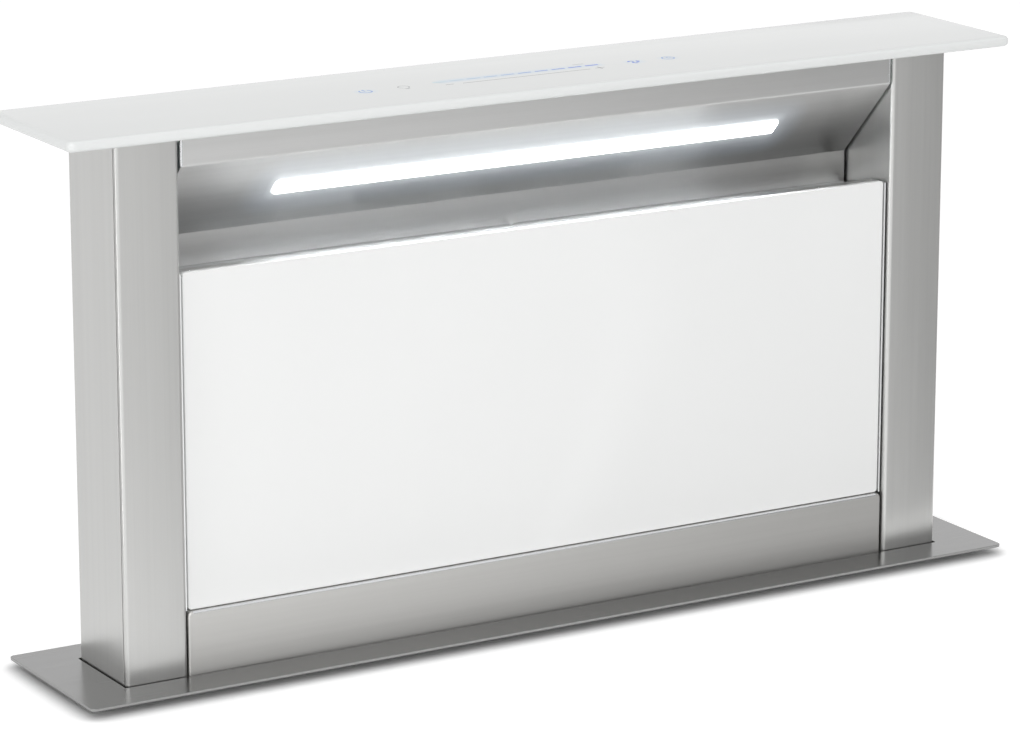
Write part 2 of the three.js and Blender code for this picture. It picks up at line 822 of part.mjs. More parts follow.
function addActuator() {
  const bore = tubeRadius - tubeWall;
  const noseBore = rodRadius + running;
  const tube = turned([
    [bore, tubeBottomZ], [tubeRadius, tubeBottomZ],
    [tubeRadius, tubeTopZ - tubeNose], [tubeRadius + 1.5, tubeTopZ - tubeNose],
    [tubeRadius + 1.5, tubeTopZ - 1], [tubeRadius + 0.5, tubeTopZ],
    [noseBore, tubeTopZ], [noseBore, tubeTopZ - tubeNose], [bore, tubeTopZ - tubeNose - 3],
  ]).translate(0, liftY, 0);
  add(vent, 'actuator_tube', tube, aluminium());

  // The gearbox is a rounded block that spans the screw and the motor beside it.
  const half = (angle, x) => Array.from({ length: 9 }, (_, i) => {
    const a = angle + (Math.PI * i) / 8;
    return new THREE.Vector2(x + gearboxRadius * Math.cos(a), liftY + gearboxRadius * Math.sin(a));
  });
  const outline = new THREE.Shape([...half(-Math.PI / 2, 0), ...half(Math.PI / 2, -motorOffset)]);
  const lugX = eyeRadius;
  const lug = block(
    [-lugX, lugX],
    [liftY - eyeWidth / 2, liftY + eyeWidth / 2],
    [lugPinZ - pinRadius * 1.6, gearboxBottomZ + 1],
  );
  const hole = alongY(circle(holeRadius, 0, lugPinZ, pinSides), liftY - eyeWidth, liftY + eyeWidth);
  const gearbox = alongZ(outline, gearboxBottomZ, gearboxBottomZ + gearboxHeight);
  add(vent, 'actuator_gearbox', cut(fuse(gearbox, lug), hole), darkPlastic());

  const motorBottom = tubeBottomZ;
  const motorTop = motorBottom + liftMotorLength;
  const motor = turned([
    [0, motorBottom], [liftMotorRadius, motorBottom],
    [liftMotorRadius, motorTop - 14], [liftMotorRadius - 2, motorTop - 12],
    [liftMotorRadius - 2, motorTop - 3], [liftMotorRadius - 5, motorTop], [0, motorTop],
  ]).translate(-motorOffset, liftY, 0);
  add(vent, 'actuator_motor', motor, motorBlack());

  // A folded bracket on the shaft's floor carries the gearbox on a pin.
  const inside = eyeWidth / 2 + seat;
  const floor = -shaftDepth + shaftSheet + seat;
  const top = gearboxBottomZ - 1;
  const section = hiddenSheet([
    [liftY - inside - lugThickness, top],
    [liftY - inside - lugThickness, floor],
    [liftY + inside + lugThickness, floor],
    [liftY + inside + lugThickness, top],
  ], lugThickness, bend / 2);
  const bracketX = gearboxRadius;
  const holeAll = alongY(
    circle(holeRadius, 0, lugPinZ, pinSides),
    liftY - inside - lugThickness - 1,
    liftY + inside + lugThickness + 1,
  );
  add(vent, 'actuator_bracket', cut(alongX(section, -bracketX, bracketX), holeAll), zincSheet());
  const gripped = inside + lugThickness;
  add(vent, 'base_pin', pin(liftY - gripped, liftY + gripped, lugPinZ), polishedSteel());
}

function addTailTie() {
  const tieBack = backY - cheekInset - 1;
  const section = hiddenSheet([
    [tieBack - tieDepth, -tailLength],
    [tieBack, -tailLength],
    [tieBack, -tailLength + tieHeight],
  ], tieSheet);
  const tieX = cheekX - seat;
  add(tower, 'tail_tie', alongX(section, -tieX, tieX), zincSheet());
}

// ---------------------------------------------------------------------------------------------
// Telescopic slides, one on each side between the tower's tail and the shaft's wall

function addSlides() {
  const nest = railSheet + seat;
  const outerX = wallX - seat;
  const middleX = outerX - nest;
  const outerLipX = halfWidth + seat + railBend;
  const middleLipX = outerLipX + nest;
  const innerFlangeX = middleLipX + nest;
  const outerY = railWidth / 2;
  const middleY = outerY - nest;
  const innerY = middleY - nest;
  const baseY = railBaseWidth / 2;
  const channel = (lipX, webX, y) => hiddenSheet([
    [lipX, -y + railLip], [lipX, -y], [webX, -y], [webX, y], [lipX, y], [lipX, y - railLip],
  ], railSheet, railBend);
  const hat = hiddenSheet([
    [innerFlangeX, innerY], [innerFlangeX, baseY], [halfWidth + seat, baseY],
    [halfWidth + seat, -baseY], [innerFlangeX, -baseY], [innerFlangeX, -innerY],
  ], railSheet, railBend);
  const lengthFrom = (section, top) => alongZ(section, top - railLength, top);
  addPair(vent, 'rail_outer', lengthFrom(channel(outerLipX, outerX, outerY), railTopZ - travel), zincSheet);
  addPair(
    vent,
    'rail_middle',
    lengthFrom(channel(middleLipX, middleX, middleY), railTopZ - travel / 2),
    zincSheet,
  );
  addPair(tower, 'rail_inner', lengthFrom(hat, railTopZ), zincSheet);
}

// ---------------------------------------------------------------------------------------------
// Worktop flange and shaft

function addFlange() {
  const holeX = halfWidth + flangeGap;
  const holeY = backY + flangeGap;
  const opening = roundedPoints([-holeX, holeX], [-holeY, holeY], bend);
  const collar = roundedPoints(
    [-holeX - collarSheet, holeX + collarSheet],
    [-holeY - collarSheet, holeY + collarSheet],
    bend + collarSheet,
  );
  const rim = roundedPoints(
    [-flangeWidth / 2, flangeWidth / 2],
    [-flangeSetforward - flangeDepth / 2, -flangeSetforward + flangeDepth / 2],
    flangeCorner,
    4,
  );
  const legY = shaftY - seat - collarSheet;
  const tongue = foldedSheet([
    [holeY + collarSheet / 2, -collarDepth],
    [legY, -collarDepth],
    [legY, -collarDepth - tongueLeg],
  ], collarSheet);
  const tongues = [-tongueSpread, 0, tongueSpread].flatMap((x) => [0, Math.PI].map((turn) =>
    alongX(tongue, x - tongueWidth / 2, x + tongueWidth / 2).rotateZ(turn)));
  const flange = fuse(
    alongZ(frame(rim, opening), 0, flangeThickness),
    alongZ(frame(collar, opening), -collarDepth, flangeThickness / 2),
    ...tongues,
  );
  add(vent, 'worktop_flange', flange, brushedSteel());

  const inner = roundedPoints(
    [-halfWidth - wiperPlay, halfWidth + wiperPlay],
    [-backY - wiperPlay, backY + wiperPlay],
    bend,
  );
  const outer = roundedPoints(
    [-holeX + wiperPlay, holeX - wiperPlay],
    [-holeY + wiperPlay, holeY - wiperPlay],
    bend,
  );
  add(vent, 'wiper_seal', alongZ(frame(outer, inner), -wiperHeight - 1, -1), blackRubber());
}

// Front and back are wide channels that wrap round the two side channels.
const wrapX = wallX + shaftSheet + seat + shaftSheet;
const shaftFaceY = shaftY + shaftSheet;
const shaftTop = -shaftTopGap;
const sideDepth = shaftY - seat;

function shaftWall() {
  return hiddenSheet([
    [-wrapX, -shaftFaceY + shaftReturn], [-wrapX, -shaftFaceY],
    [wrapX, -shaftFaceY], [wrapX, -shaftFaceY + shaftReturn],
  ], shaftSheet);
}

function addShaft() {
  const wall = alongZ(shaftWall(), -shaftDepth, shaftTop);
  const inlet = alongY(circle(inletHole, blowerX, blowerZ, wideSides), -shaftFaceY - 1, -shaftY + 1);
  add(vent, 'housing_front', cut(wall, inlet), zincSheet());

  // Pressed ribs stiffen the back, hollow on the inside.
  const turnedWall = alongZ(shaftWall(), -shaftDepth, shaftTop).rotateZ(Math.PI);
  const ribX = wallX - shaftReturn;
  const rib = (z, grow, y0) => alongX(new THREE.Shape([
    new THREE.Vector2(y0, z - ribWidth / 2 - grow),
    new THREE.Vector2(shaftFaceY + ribHeight + grow - shaftSheet / 2, z - ribWidth / 4 - grow / 2),
    new THREE.Vector2(shaftFaceY + ribHeight + grow - shaftSheet / 2, z + ribWidth / 4 + grow / 2),
    new THREE.Vector2(y0, z + ribWidth / 2 + grow),
  ]), -ribX - grow, ribX + grow);
  const ribSpace = shaftDepth / (ribCount + 1);
  const rows = Array.from({ length: ribCount }, (_, i) => -ribSpace * (i + 1));
  const raised = rows.map((z) => rib(z, shaftSheet / 2, shaftY + shaftSheet / 2));
  const hollow = rows.map((z) => rib(z, -shaftSheet / 2, shaftY - 1));
  add(vent, 'housing_back', cut(fuse(turnedWall, ...raised), ...hollow), zincSheet());

  const side = hiddenSheet([
    [wallX + shaftSheet - shaftSideFold, -sideDepth], [wallX + shaftSheet, -sideDepth],
    [wallX + shaftSheet, sideDepth], [wallX + shaftSheet - shaftSideFold, sideDepth],
  ], shaftSheet);
  addPair(vent, 'housing', alongZ(side, -shaftDepth, shaftTop), zincSheet);

  const baseY = sideDepth - shaftSheet - seat;
  const base = hiddenSheet([
    [-baseY, -shaftDepth + baseUpstand], [-baseY, -shaftDepth],
    [baseY, -shaftDepth], [baseY, -shaftDepth + baseUpstand],
  ], shaftSheet);
  add(vent, 'housing_base', alongX(base, -wallX + 2 * seat, wallX - 2 * seat), zincSheet());
}

// The clamps pull up against the underside of the worktop.
function addClamps() {
  const legX = wallX + shaftSheet + seat;
  const section = hiddenSheet([
    [legX + clampReach, -worktopThickest],
    [legX, -worktopThickest],
    [legX, -worktopThickest - clampLeg],
  ], clampSheet);
  addPair(vent, 'clamp', alongY(section, -clampDepth / 2, clampDepth / 2), zincSheet);
}

function addFeet() {
  const footX = wallX - footInset;
  const top = -shaftDepth - seat;
  const bottom = -shaftDepth - footHeight;
  const halfFoot = footWidth / 2;
  const section = hiddenSheet([
    [footX + halfFoot + footFlange, bottom + footSheet], [footX + halfFoot, bottom + footSheet],
    [footX + halfFoot, top], [footX - halfFoot, top],
    [footX - halfFoot, bottom + footSheet], [footX - halfFoot - footFlange, bottom + footSheet],
  ], footSheet);
  const front = boxFrontY + boxCorner;
  const length = shaftFaceY - front;
  const slots = Array.from({ length: footSlots }, (_, i) => [-1, 1].map((side) => {
    const x = footX + side * (halfFoot + footFlange / 2 + footSheet / 2);
    const y = front + (length * (i + 0.5)) / footSlots;
    return alongZ(rounded([x - 2.5, x + 2.5], [y - 9, y + 9], 2.4, 2), bottom - 1, bottom + footSheet + 1);
  })).flat();
  addPair(vent, 'foot', cut(alongY(section, front, shaftFaceY), ...slots), zincSheet);
}

// ---------------------------------------------------------------------------------------------
// Blower. Its group's origin is on the impeller's axle, at the shaft's front face, and the axle is Y.

const scrollStart = impellerRadius + scrollClearance;
const radians = THREE.MathUtils.degToRad;
const scrollRadius = (degrees) => scrollStart + (scrollGrowth * (scrollTongue - degrees)) / 360;
const scrollTop = scrollRadius(-270);
const blowerZ = -shaftDepth + boxSheet + boxMargin + scrollSheet + scrollRadius(-90);
const boxLeft = -scrollRadius(-180) - scrollSheet - boxMargin - boxSheet;
const boxRight = scrollMouth + scrollSheet + boxMargin + boxSheet;
const boxBottom = -shaftDepth - blowerZ;
const spigotZ = scrollTop + spigotRaise - spigotRadius;
const boxTop = spigotZ + spigotRadius + spigotWall + spigotFlange + boxMargin + boxSheet;

// Places along the axle, counted forwards from the shaft's front face.
const boxBack = -seat;
const scrollBack = boxBack - boxSheet - seat;
const impellerBack = scrollBack - scrollSheet - impellerSet;
const impellerFront = impellerBack - impellerWidth;
const scrollFront = scrollBack - 2 * scrollSheet - scrollAxial;
const motorBack = scrollFront - bracketSheet - 2 * seat;
const motorFront = motorBack - motorLength;
const boxFront = motorFront - boxMargin;
const boxFrontY = -shaftFaceY + boxFront;
const spigotY = (scrollBack + boxFront) / 2;

const blower = new THREE.Group();
blower.position.set(blowerX, -shaftFaceY, blowerZ);
vent.add(blower);

const turnedAlongY = (profile, steps) => turned(profile, steps).rotateX(-Math.PI / 2);

// The scroll widens steadily from its tongue, clockwise as the cook sees it, and ends in a straight mouth.
function scrollOutline(grow, mouth) {
  const tongueZ = scrollStart * Math.sin(radians(scrollTongue)) - grow;
  const start = THREE.MathUtils.radToDeg(Math.asin(tongueZ / (scrollStart + grow)));
  const steps = wideSides;
  const spiral = Array.from({ length: steps + 1 }, (_, i) => {
    const degrees = start + ((-270 - start) * i) / steps;
    const radius = scrollRadius(degrees) + grow;
    return new THREE.Vector2(radius * Math.cos(radians(degrees)), radius * Math.sin(radians(degrees)));
  });
  spiral.push(new THREE.Vector2(mouth, scrollTop + grow), new THREE.Vector2(mouth, tongueZ));
  return new THREE.Shape(spiral.reverse());
}

// Its front plate and its band are one piece, and the plate with the inlet closes its back.
function addScroll() {
  const bandBack = scrollBack - scrollSheet - seat;
  const shell = alongY(scrollOutline(scrollSheet, scrollMouth), scrollFront, bandBack);
  const air = alongY(scrollOutline(0, scrollMouth + 1), scrollFront + scrollSheet, bandBack + 1);
  const axle = alongY(circle(hubRadius + 1), scrollFront - 1, scrollFront + scrollSheet + 1);
  add(blower, 'scroll_housing', cut(shell, air, axle), zincSheet());

  const plate = alongY(scrollOutline(scrollSheet, scrollMouth), scrollBack - scrollSheet, scrollBack);
  const inlet = alongY(circle(scrollInlet, 0, 0, wideSides), scrollBack - scrollSheet - 1, scrollBack + 1);
  add(blower, 'scroll_back', cut(plate, inlet), zincSheet());
}

// The bell mouth leads the air from the shaft into the impeller's eye.
function addInletRing() {
  const steps = 4;
  const flare = scrollInlet - 2 - inletThroat;
  const face = boxBack - boxSheet;
  const bell = (grow) => Array.from({ length: steps + 1 }, (_, i) => {
    const angle = (Math.PI / 2) * (i / steps);
    return [
      inletThroat + grow + (flare - grow) * (1 - Math.cos(angle)),
      face - inletDepth + (inletDepth + inletSheet - grow) * Math.sin(angle),
    ];
  });
  const throat = [
    ...bell(inletSheet),
    [inletHole - seat, face],
    [inletHole - seat, face + inletSheet],
    ...bell(0).reverse(),
  ];
  add(blower, 'inlet_ring', turnedAlongY(throat, wideSides), aluminium());
}

// A forward-curved blade: its tip leads in the direction of spin.
function bladeOutline(turn) {
  const root = impellerRadius - bladeDepth;
  const steps = 3;
  const camber = (s, side) => {
    const radius = root + bladeDepth * s;
    const slope = Math.atan((2 * bladeLean * s * radius) / bladeDepth);
    const angle = turn - bladeLean * s * s;
    const along = side * (bladeThickness / 2);
    return new THREE.Vector2(
      radius * Math.cos(angle) + along * -Math.sin(angle - slope),
      radius * Math.sin(angle) + along * Math.cos(angle - slope),
    );
  };
  const face = (side) => Array.from({ length: steps + 1 }, (_, i) => camber(i / steps, side));
  return new THREE.Shape([...face(-1), ...face(1).reverse()]);
}

function addImpeller() {
  const turns = Array.from({ length: bladeCount }, (_, i) => (2 * Math.PI * i) / bladeCount);
  const blades = turns.map((turn) => alongY(
    bladeOutline(turn),
    impellerFront + impellerDisc / 2,
    impellerBack - impellerDisc / 2,
  ));
  const rim = alongY(
    ring(impellerRadius + 1, impellerRadius - impellerRim, 0, 0, wideSides),
    impellerBack - impellerDisc,
    impellerBack,
  );
  const hubBack = impellerFront + impellerWidth / 2;
  const spider = turnedAlongY([
    [0, motorBack - motorLength / 2], [shaftRadius, motorBack - motorLength / 2],
    [shaftRadius, impellerFront - 2], [hubRadius, impellerFront - 2],
    [hubRadius, impellerFront], [impellerRadius + 1, impellerFront],
    [impellerRadius + 1, impellerFront + impellerDisc], [hubRadius * 2.4, impellerFront + impellerDisc],
    [hubRadius, hubBack - 4], [hubRadius - 3, hubBack], [0, hubBack],
  ], wideSides);
  add(blower, 'impeller', fuse(spider, rim, ...blades), aluminium());
}

function addBlowerMotor() {
  const bore = shaftRadius + running;
  const ribSpace = (motorLength - 16) / motorRibs;
  const fins = Array.from({ length: motorRibs }, (_, i) => {
    const y = motorFront + 8 + i * ribSpace;
    return [[motorRadius, y], [motorRadius, y + ribSpace / 2],
      [motorRadius - 3, y + ribSpace / 2], [motorRadius - 3, y + ribSpace]];
  }).flat();
  const can = turnedAlongY([
    [0, motorFront], [motorRadius - 8, motorFront], [motorRadius - 2, motorFront + 3],
    ...fins,
    [motorRadius - 3, motorBack - 6], [motorRadius - 6, motorBack],
    [bore, motorBack], [bore, motorBack - motorLength / 2 - 2], [0, motorBack - motorLength / 2 - 2],
  ]);
  add(blower, 'blower_motor', can, motorBlack());

  // Three arms carry the motor on the scroll's front plate.
  const arms = [90, 210, 330].map((degrees) => {
    const arm = rounded([0, bracketReach], [-bracketArm / 2, bracketArm / 2], bracketArm / 3);
    return extruded(arm, bracketSheet).rotateZ(radians(degrees));
  });
  const disc = extruded(circle(motorRadius - 6, 0, 0, wideSides), bracketSheet);
  const hole = extruded(circle(hubRadius + 1), 3 * bracketSheet).translate(0, 0, -bracketSheet);
  const bracket = cut(fuse(disc, ...arms), hole)
    .rotateX(Math.PI / 2).translate(0, scrollFront - seat, 0);
  add(blower, 'motor_bracket', bracket, zincSheet());
}

function addBlowerBox() {
  const outer = [[boxLeft, boxRight], [boxBottom, boxTop]];
  const shrink = ([a, b], by) => [a + by, b - by];
  const at = (by) => roundedPoints(shrink(outer[0], by), shrink(outer[1], by), Math.max(boxCorner - by, 1));
  const walls = alongY(frame(at(0), at(boxSheet)), boxFront, boxBack);
  const back = alongY(frame(at(0), circlePoints(inletHole, 0, 0, wideSides)), boxBack - boxSheet, boxBack);
  const flange = alongY(frame(at(0), at(boxFlange)), boxFront, boxFront + boxSheet);
  const way = circle(spigotRadius, spigotY, spigotZ, wideSides);
  const outlet = alongX(way, boxRight - boxSheet - 1, boxRight + 1);
  add(blower, 'blower_box', cut(fuse(walls, back, flange), outlet), zincSheet());

  // The cover has a raised field with cooling slots in front of the motor.
  const coverBack = boxFront - seat;
  const coverFace = coverBack - coverSheet;
  const field = (by) => {
    const [xs, zs] = outer.map((span) => shrink(span, coverBorder + by));
    return standingPlate(rounded(xs, zs, 3 * boxCorner), 3 * coverRaise, coverRaise)
      .translate(0, coverFace - coverRaise + by, 0);
  };
  const raised = common(
    field(0),
    alongY(new THREE.Shape(at(0)), coverFace - coverRaise, coverBack),
  );
  const hollow = field(coverSheet);
  const sheet = alongY(new THREE.Shape(at(0)), coverFace, coverBack);
  const louvres = Array.from({ length: louvreCount }, (_, i) => {
    const z = (i - (louvreCount - 1) / 2) * louvrePitch;
    const slot = rounded(
      [-louvreWidth / 2, louvreWidth / 2],
      [z - louvreHeight / 2, z + louvreHeight / 2],
      1.9,
      2,
    );
    return alongY(slot, coverFace - 2 * coverRaise, coverBack + 1);
  });
  add(blower, 'blower_cover', cut(fuse(sheet, raised), hollow, ...louvres), zincSheet());
}

// ---------------------------------------------------------------------------------------------
// Outlet. Its group's origin is where the spigot's axis leaves the box, and the axis is its Z.

const outlet = new THREE.Group();
outlet.position.set(boxRight, spigotY, spigotZ);
outlet.rotation.y = Math.PI / 2;
blower.add(outlet);

function addSpigot() {
  const outer = spigotRadius + spigotWall;
  const beadZ = spigotLength - 10;
  const stopZ = flapSet - flapThickness / 2 - seat;
  const sleeve = turned([
    [spigotRadius, seat], [outer + spigotFlange, seat], [outer + spigotFlange, seat + spigotWall],
    [outer, seat + spigotWall], [outer, beadZ - spigotBead], [outer + spigotBead, beadZ],
    [outer, beadZ + spigotBead], [outer, spigotLength], [spigotRadius, spigotLength],
    [spigotRadius, stopZ], [spigotRadius - stopDepth, stopZ],
    [spigotRadius - stopDepth, stopZ - spigotWall], [spigotRadius, stopZ - spigotWall],
  ], wideSides);
  const hole = alongX(circle(flapPinRadius + running, 0, flapSet, pinSides), -outer - 1, outer + 1);
  const gap = knuckleRadius + flapPlay;
  const bore = common(
    alongZ(circle(spigotRadius, 0, 0, wideSides), seat, flapSet),
    block([-outer, outer], [-gap, gap], [0, spigotLength]),
  );
  add(outlet, 'outlet_collar', cut(sleeve, hole, bore), greyPlastic());
}

// Two half discs hang on one upright pin, and their knuckles take turns along it.
function addFlaps() {
  const pinLength = 2 * (spigotRadius + spigotWall + 1);
  const pinBar = alongX(circle(flapPinRadius, 0, flapSet, pinSides), -pinLength / 2, pinLength / 2);
  add(outlet, 'flap_pin', pinBar, polishedSteel());

  const flapRadius = spigotRadius - flapPlay;
  const knuckleSpan = 2 * flapRadius - 2 * stopDepth;
  const pitch = knuckleSpan / knuckleSlots;
  const innerEdge = knuckleRadius + 0.6;
  const steps = wideSides / 2;
  const arcStart = Math.asin(innerEdge / flapRadius);
  const arc = Array.from({ length: steps + 1 }, (_, i) => {
    const angle = arcStart + ((Math.PI - 2 * arcStart) * i) / steps;
    return new THREE.Vector2(flapRadius * Math.cos(angle), flapRadius * Math.sin(angle));
  });
  const leaf = alongZ(new THREE.Shape(arc), flapSet - flapThickness / 2, flapSet + flapThickness / 2);
  const knuckles = (first) => {
    const slots = [];
    for (let slot = first; slot < knuckleSlots; slot += 2) {
      const x0 = -knuckleSpan / 2 + slot * pitch + seat;
      const x1 = x0 + pitch - 2 * seat;
      const web = block([x0 + 1, x1 - 1], [flapPinRadius + 0.6, innerEdge + 1],
        [flapSet - flapThickness / 2, flapSet + flapThickness / 2]);
      const sleeve = ring(knuckleRadius, flapPinRadius + running, 0, flapSet, pinSides);
      slots.push(web, alongX(sleeve, x0, x1));
    }
    return slots;
  };
  add(outlet, 'flap_rear', fuse(leaf, ...knuckles(0)), greyPlastic());
  const turnedFlap = fuse(leaf, ...knuckles(0)).rotateZ(Math.PI);
  add(outlet, 'flap_front', turnedFlap, greyPlastic());
}

// ---------------------------------------------------------------------------------------------
// Control box on the front of the shaft, with the gland for the mains lead under it

const controls = new THREE.Group();
controls.position.set(controlX, -shaftFaceY - seat, -controlTop);
vent.add(controls);

function addControlBox() {
  const xs = [-controlWidth / 2, controlWidth / 2];
  const zs = [-controlHeight, 0];
  const shell = alongY(rounded(xs, zs, boxCorner), -controlDepth, 0);
  const cavity = alongY(
    rounded(xs.map((x) => x - Math.sign(x) * controlWall), [zs[0] + controlWall, zs[1] - controlWall], 2),
    -controlDepth - 1,
    -controlWall,
  );
  const glandY = -controlDepth / 2;
  const glandHole = alongZ(circle(glandRadius * 0.7 + seat, 0, glandY), zs[0] - 1, zs[0] + controlWall + 1);
  add(controls, 'control_box', cut(shell, cavity, glandHole), darkPlastic());

  const lidBack = -controlDepth - seat;
  const lid = standingPlate(rounded(xs, zs, boxCorner), lidDepth, 1)
    .translate(0, lidBack - lidDepth, 0);
  const underside = alongY(
    rounded(xs.map((x) => x - Math.sign(x) * controlWall), [zs[0] + controlWall, zs[1] - controlWall], 2),
    lidBack - lidDepth + controlWall,
    lidBack + 1,
  );
  add(controls, 'control_lid', cut(lid, underside), darkPlastic());

  // The gland: a threaded neck through the wall, a collar under it and a domed nut.
  const wallZ = zs[0] - seat;
  const neck = glandRadius * 0.7;
  const gland = turned([
    [glandBore, wallZ - glandLength], [glandRadius * 0.6, wallZ - glandLength],
    [glandRadius * 0.85, wallZ - glandLength + 5], [glandRadius * 0.85, wallZ - 7],
    [glandRadius, wallZ - 6], [glandRadius, wallZ], [neck, wallZ],
    [neck, wallZ + controlWall + 6], [glandBore, wallZ + controlWall + 6],
  ], 18).translate(0, glandY, 0);
  add(controls, 'cable_gland', gland, darkPlastic());
}

// The circuit board stands on four pillars at the back of the box. It carries the transformer, the relays
// with a capacitor under each, and the row of terminals for the leads.
function addControlBoard() {
  const halfX = controlWidth / 2 - controlWall - controlBoardInset;
  const top = -controlWall - controlBoardInset;
  const bottom = -controlHeight + controlWall + leadSpace;
  const back = -controlWall - seat - pillarHeight;
  const front = back - boardThickness;
  const sunk = front + boardThickness / 2;
  const board = alongY(rounded([-halfX, halfX], [bottom, top], bend), front, back);
  const pillars = [-halfX + pillarInset, halfX - pillarInset].flatMap((x) =>
    [bottom + pillarInset, top - pillarInset].map((z) =>
      alongY(circle(pillarRadius, x, z, pinSides), sunk, -controlWall - seat)));

  const coreX = [-halfX + partInset, -halfX + partInset + transformerWidth];
  const coreZ = [top - partInset - transformerHeight, top - partInset];
  const coreDepth = transformerDepth / 3;
  const coil = block(
    [coreX[0] + coilGap, coreX[1] - coilGap],
    [front - transformerDepth, sunk],
    [coreZ[0] + coilGap, coreZ[1] - coilGap],
  );
  const core = block(coreX, [front - 2 * coreDepth, front - coreDepth], coreZ);

  const relayPitch = relayWidth + relayGap;
  const relays = Array.from({ length: relayCount }, (_, i) => {
    const x = halfX - partInset - relayWidth / 2 - i * relayPitch;
    const relayFoot = top - partInset - relayHeight;
    const capacitorZ = relayFoot - relayGap - capacitorRadius;
    return [
      block(
        [x - relayWidth / 2, x + relayWidth / 2],
        [front - relayDepth, sunk],
        [relayFoot, top - partInset],
      ),
      alongY(circle(capacitorRadius, x, capacitorZ, pinSides), front - capacitorLength, sunk),
    ];
  }).flat();

  const terminalPitch = terminalWidth + terminalGap;
  const terminals = Array.from({ length: terminalCount }, (_, i) => {
    const x = (i - (terminalCount - 1) / 2) * terminalPitch;
    return block(
      [x - terminalWidth / 2, x + terminalWidth / 2],
      [front - terminalDepth, sunk],
      [bottom + partInset / 2, bottom + partInset / 2 + terminalHeight],
    );
  });
  add(controls, 'control_board', fuse(board, ...pillars, coil, core, ...relays, ...terminals), boardGreen());
}

// ---------------------------------------------------------------------------------------------

addColumns();
addCap();
addTray();
addTouchBoard();
addLampPanel();
addLamp();
addBackPanel();
addGlass();
addCarrier();
addCatches();
addStrip();
addFilters();
addCrossbar();
addRod();
addActuator();
addTailTie();
addSlides();
addFlange();
addShaft();
addClamps();
addFeet();
addScroll();
addInletRing();
addImpeller();
addBlowerMotor();
addBlowerBox();
addSpigot();
addFlaps();
addControlBox();
addControlBoard();

export default vent;
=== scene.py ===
import math

import bmesh
import bpy
from mathutils import Matrix, Vector


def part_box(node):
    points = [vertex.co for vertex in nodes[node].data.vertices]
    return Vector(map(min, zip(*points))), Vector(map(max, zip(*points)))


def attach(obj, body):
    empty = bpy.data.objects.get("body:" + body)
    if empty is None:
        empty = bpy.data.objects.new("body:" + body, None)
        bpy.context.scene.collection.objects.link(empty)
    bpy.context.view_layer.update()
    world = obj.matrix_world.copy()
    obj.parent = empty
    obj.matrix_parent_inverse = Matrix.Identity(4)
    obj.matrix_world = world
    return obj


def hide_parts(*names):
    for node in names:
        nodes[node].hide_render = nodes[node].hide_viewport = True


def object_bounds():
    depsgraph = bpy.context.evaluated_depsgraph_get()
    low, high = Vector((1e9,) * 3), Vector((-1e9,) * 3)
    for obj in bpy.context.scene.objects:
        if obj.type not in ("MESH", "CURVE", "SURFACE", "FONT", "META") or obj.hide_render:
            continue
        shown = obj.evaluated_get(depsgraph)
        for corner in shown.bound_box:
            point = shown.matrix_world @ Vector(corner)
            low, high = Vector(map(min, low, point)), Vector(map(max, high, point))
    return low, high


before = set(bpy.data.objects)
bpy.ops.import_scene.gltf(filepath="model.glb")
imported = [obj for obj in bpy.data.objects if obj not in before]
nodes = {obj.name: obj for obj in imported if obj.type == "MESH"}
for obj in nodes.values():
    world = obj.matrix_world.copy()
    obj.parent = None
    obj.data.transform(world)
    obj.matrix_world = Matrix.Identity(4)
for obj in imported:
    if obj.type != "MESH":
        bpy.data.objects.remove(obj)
cad_bounds = [list(corner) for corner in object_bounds()]

# ---------------------------------------------------------------------------------------------
# Foot rails. Two hat-section rails, folded from zinc-coated sheet and punched with slots for
# fixing to the cabinet's floor. The whole housing stands on them.


def shader(name, colour, roughness, metallic=0.0, **sockets):
    material = bpy.data.materials.new(name)
    material.use_nodes = True
    surface = material.node_tree.nodes["Principled BSDF"]
    surface.inputs["Base Color"].default_value = (*colour, 1.0)
    surface.inputs["Roughness"].default_value = roughness
    surface.inputs["Metallic"].default_value = metallic
    for socket, value in sockets.items():
        surface.inputs[socket.replace("_", " ")].default_value = value
    return material, material.node_tree, surface


def node(tree, kind, settings=None, **inputs):
    made = tree.nodes.new("ShaderNode" + kind)
    for key, value in (settings or {}).items():
        setattr(made, key, value)
    for key, value in inputs.items():
        socket = made.inputs[key.replace("_", " ")]
        if isinstance(value, bpy.types.NodeSocket):
            tree.links.new(value, socket)
        else:
            socket.default_value = value
    return made


def in_metres(tree, stretch=(1, 1, 1)):
    place = node(tree, "TexCoord").outputs["Object"]
    return node(tree, "Mapping", Vector=place, Scale=stretch).outputs["Vector"]


def shades(tree, factor, *stops):
    ramp = node(tree, "ValToRGB", Fac=factor)
    ramp.color_ramp.elements.remove(ramp.color_ramp.elements[1])
    for i, (at, colour) in enumerate(stops):
        stop = ramp.color_ramp.elements[0] if i == 0 else ramp.color_ramp.elements.new(at)
        stop.position = at
        stop.color = (*colour, 1.0) if isinstance(colour, tuple) else (colour, colour, colour, 1.0)
    return ramp.outputs["Color"]


def vary(surface, socket, factor, *stops):
    tree = surface.id_data
    tree.links.new(shades(tree, factor, *stops), surface.inputs[socket])


def relief(tree, surface, height, depth, edge=0.0004):
    eased = node(tree, "Bevel", {"samples": 6}, Radius=edge).outputs["Normal"]
    bump = node(tree, "Bump", Height=height, Strength=1.0, Distance=depth, Normal=eased)
    tree.links.new(bump.outputs["Normal"], surface.inputs["Normal"])


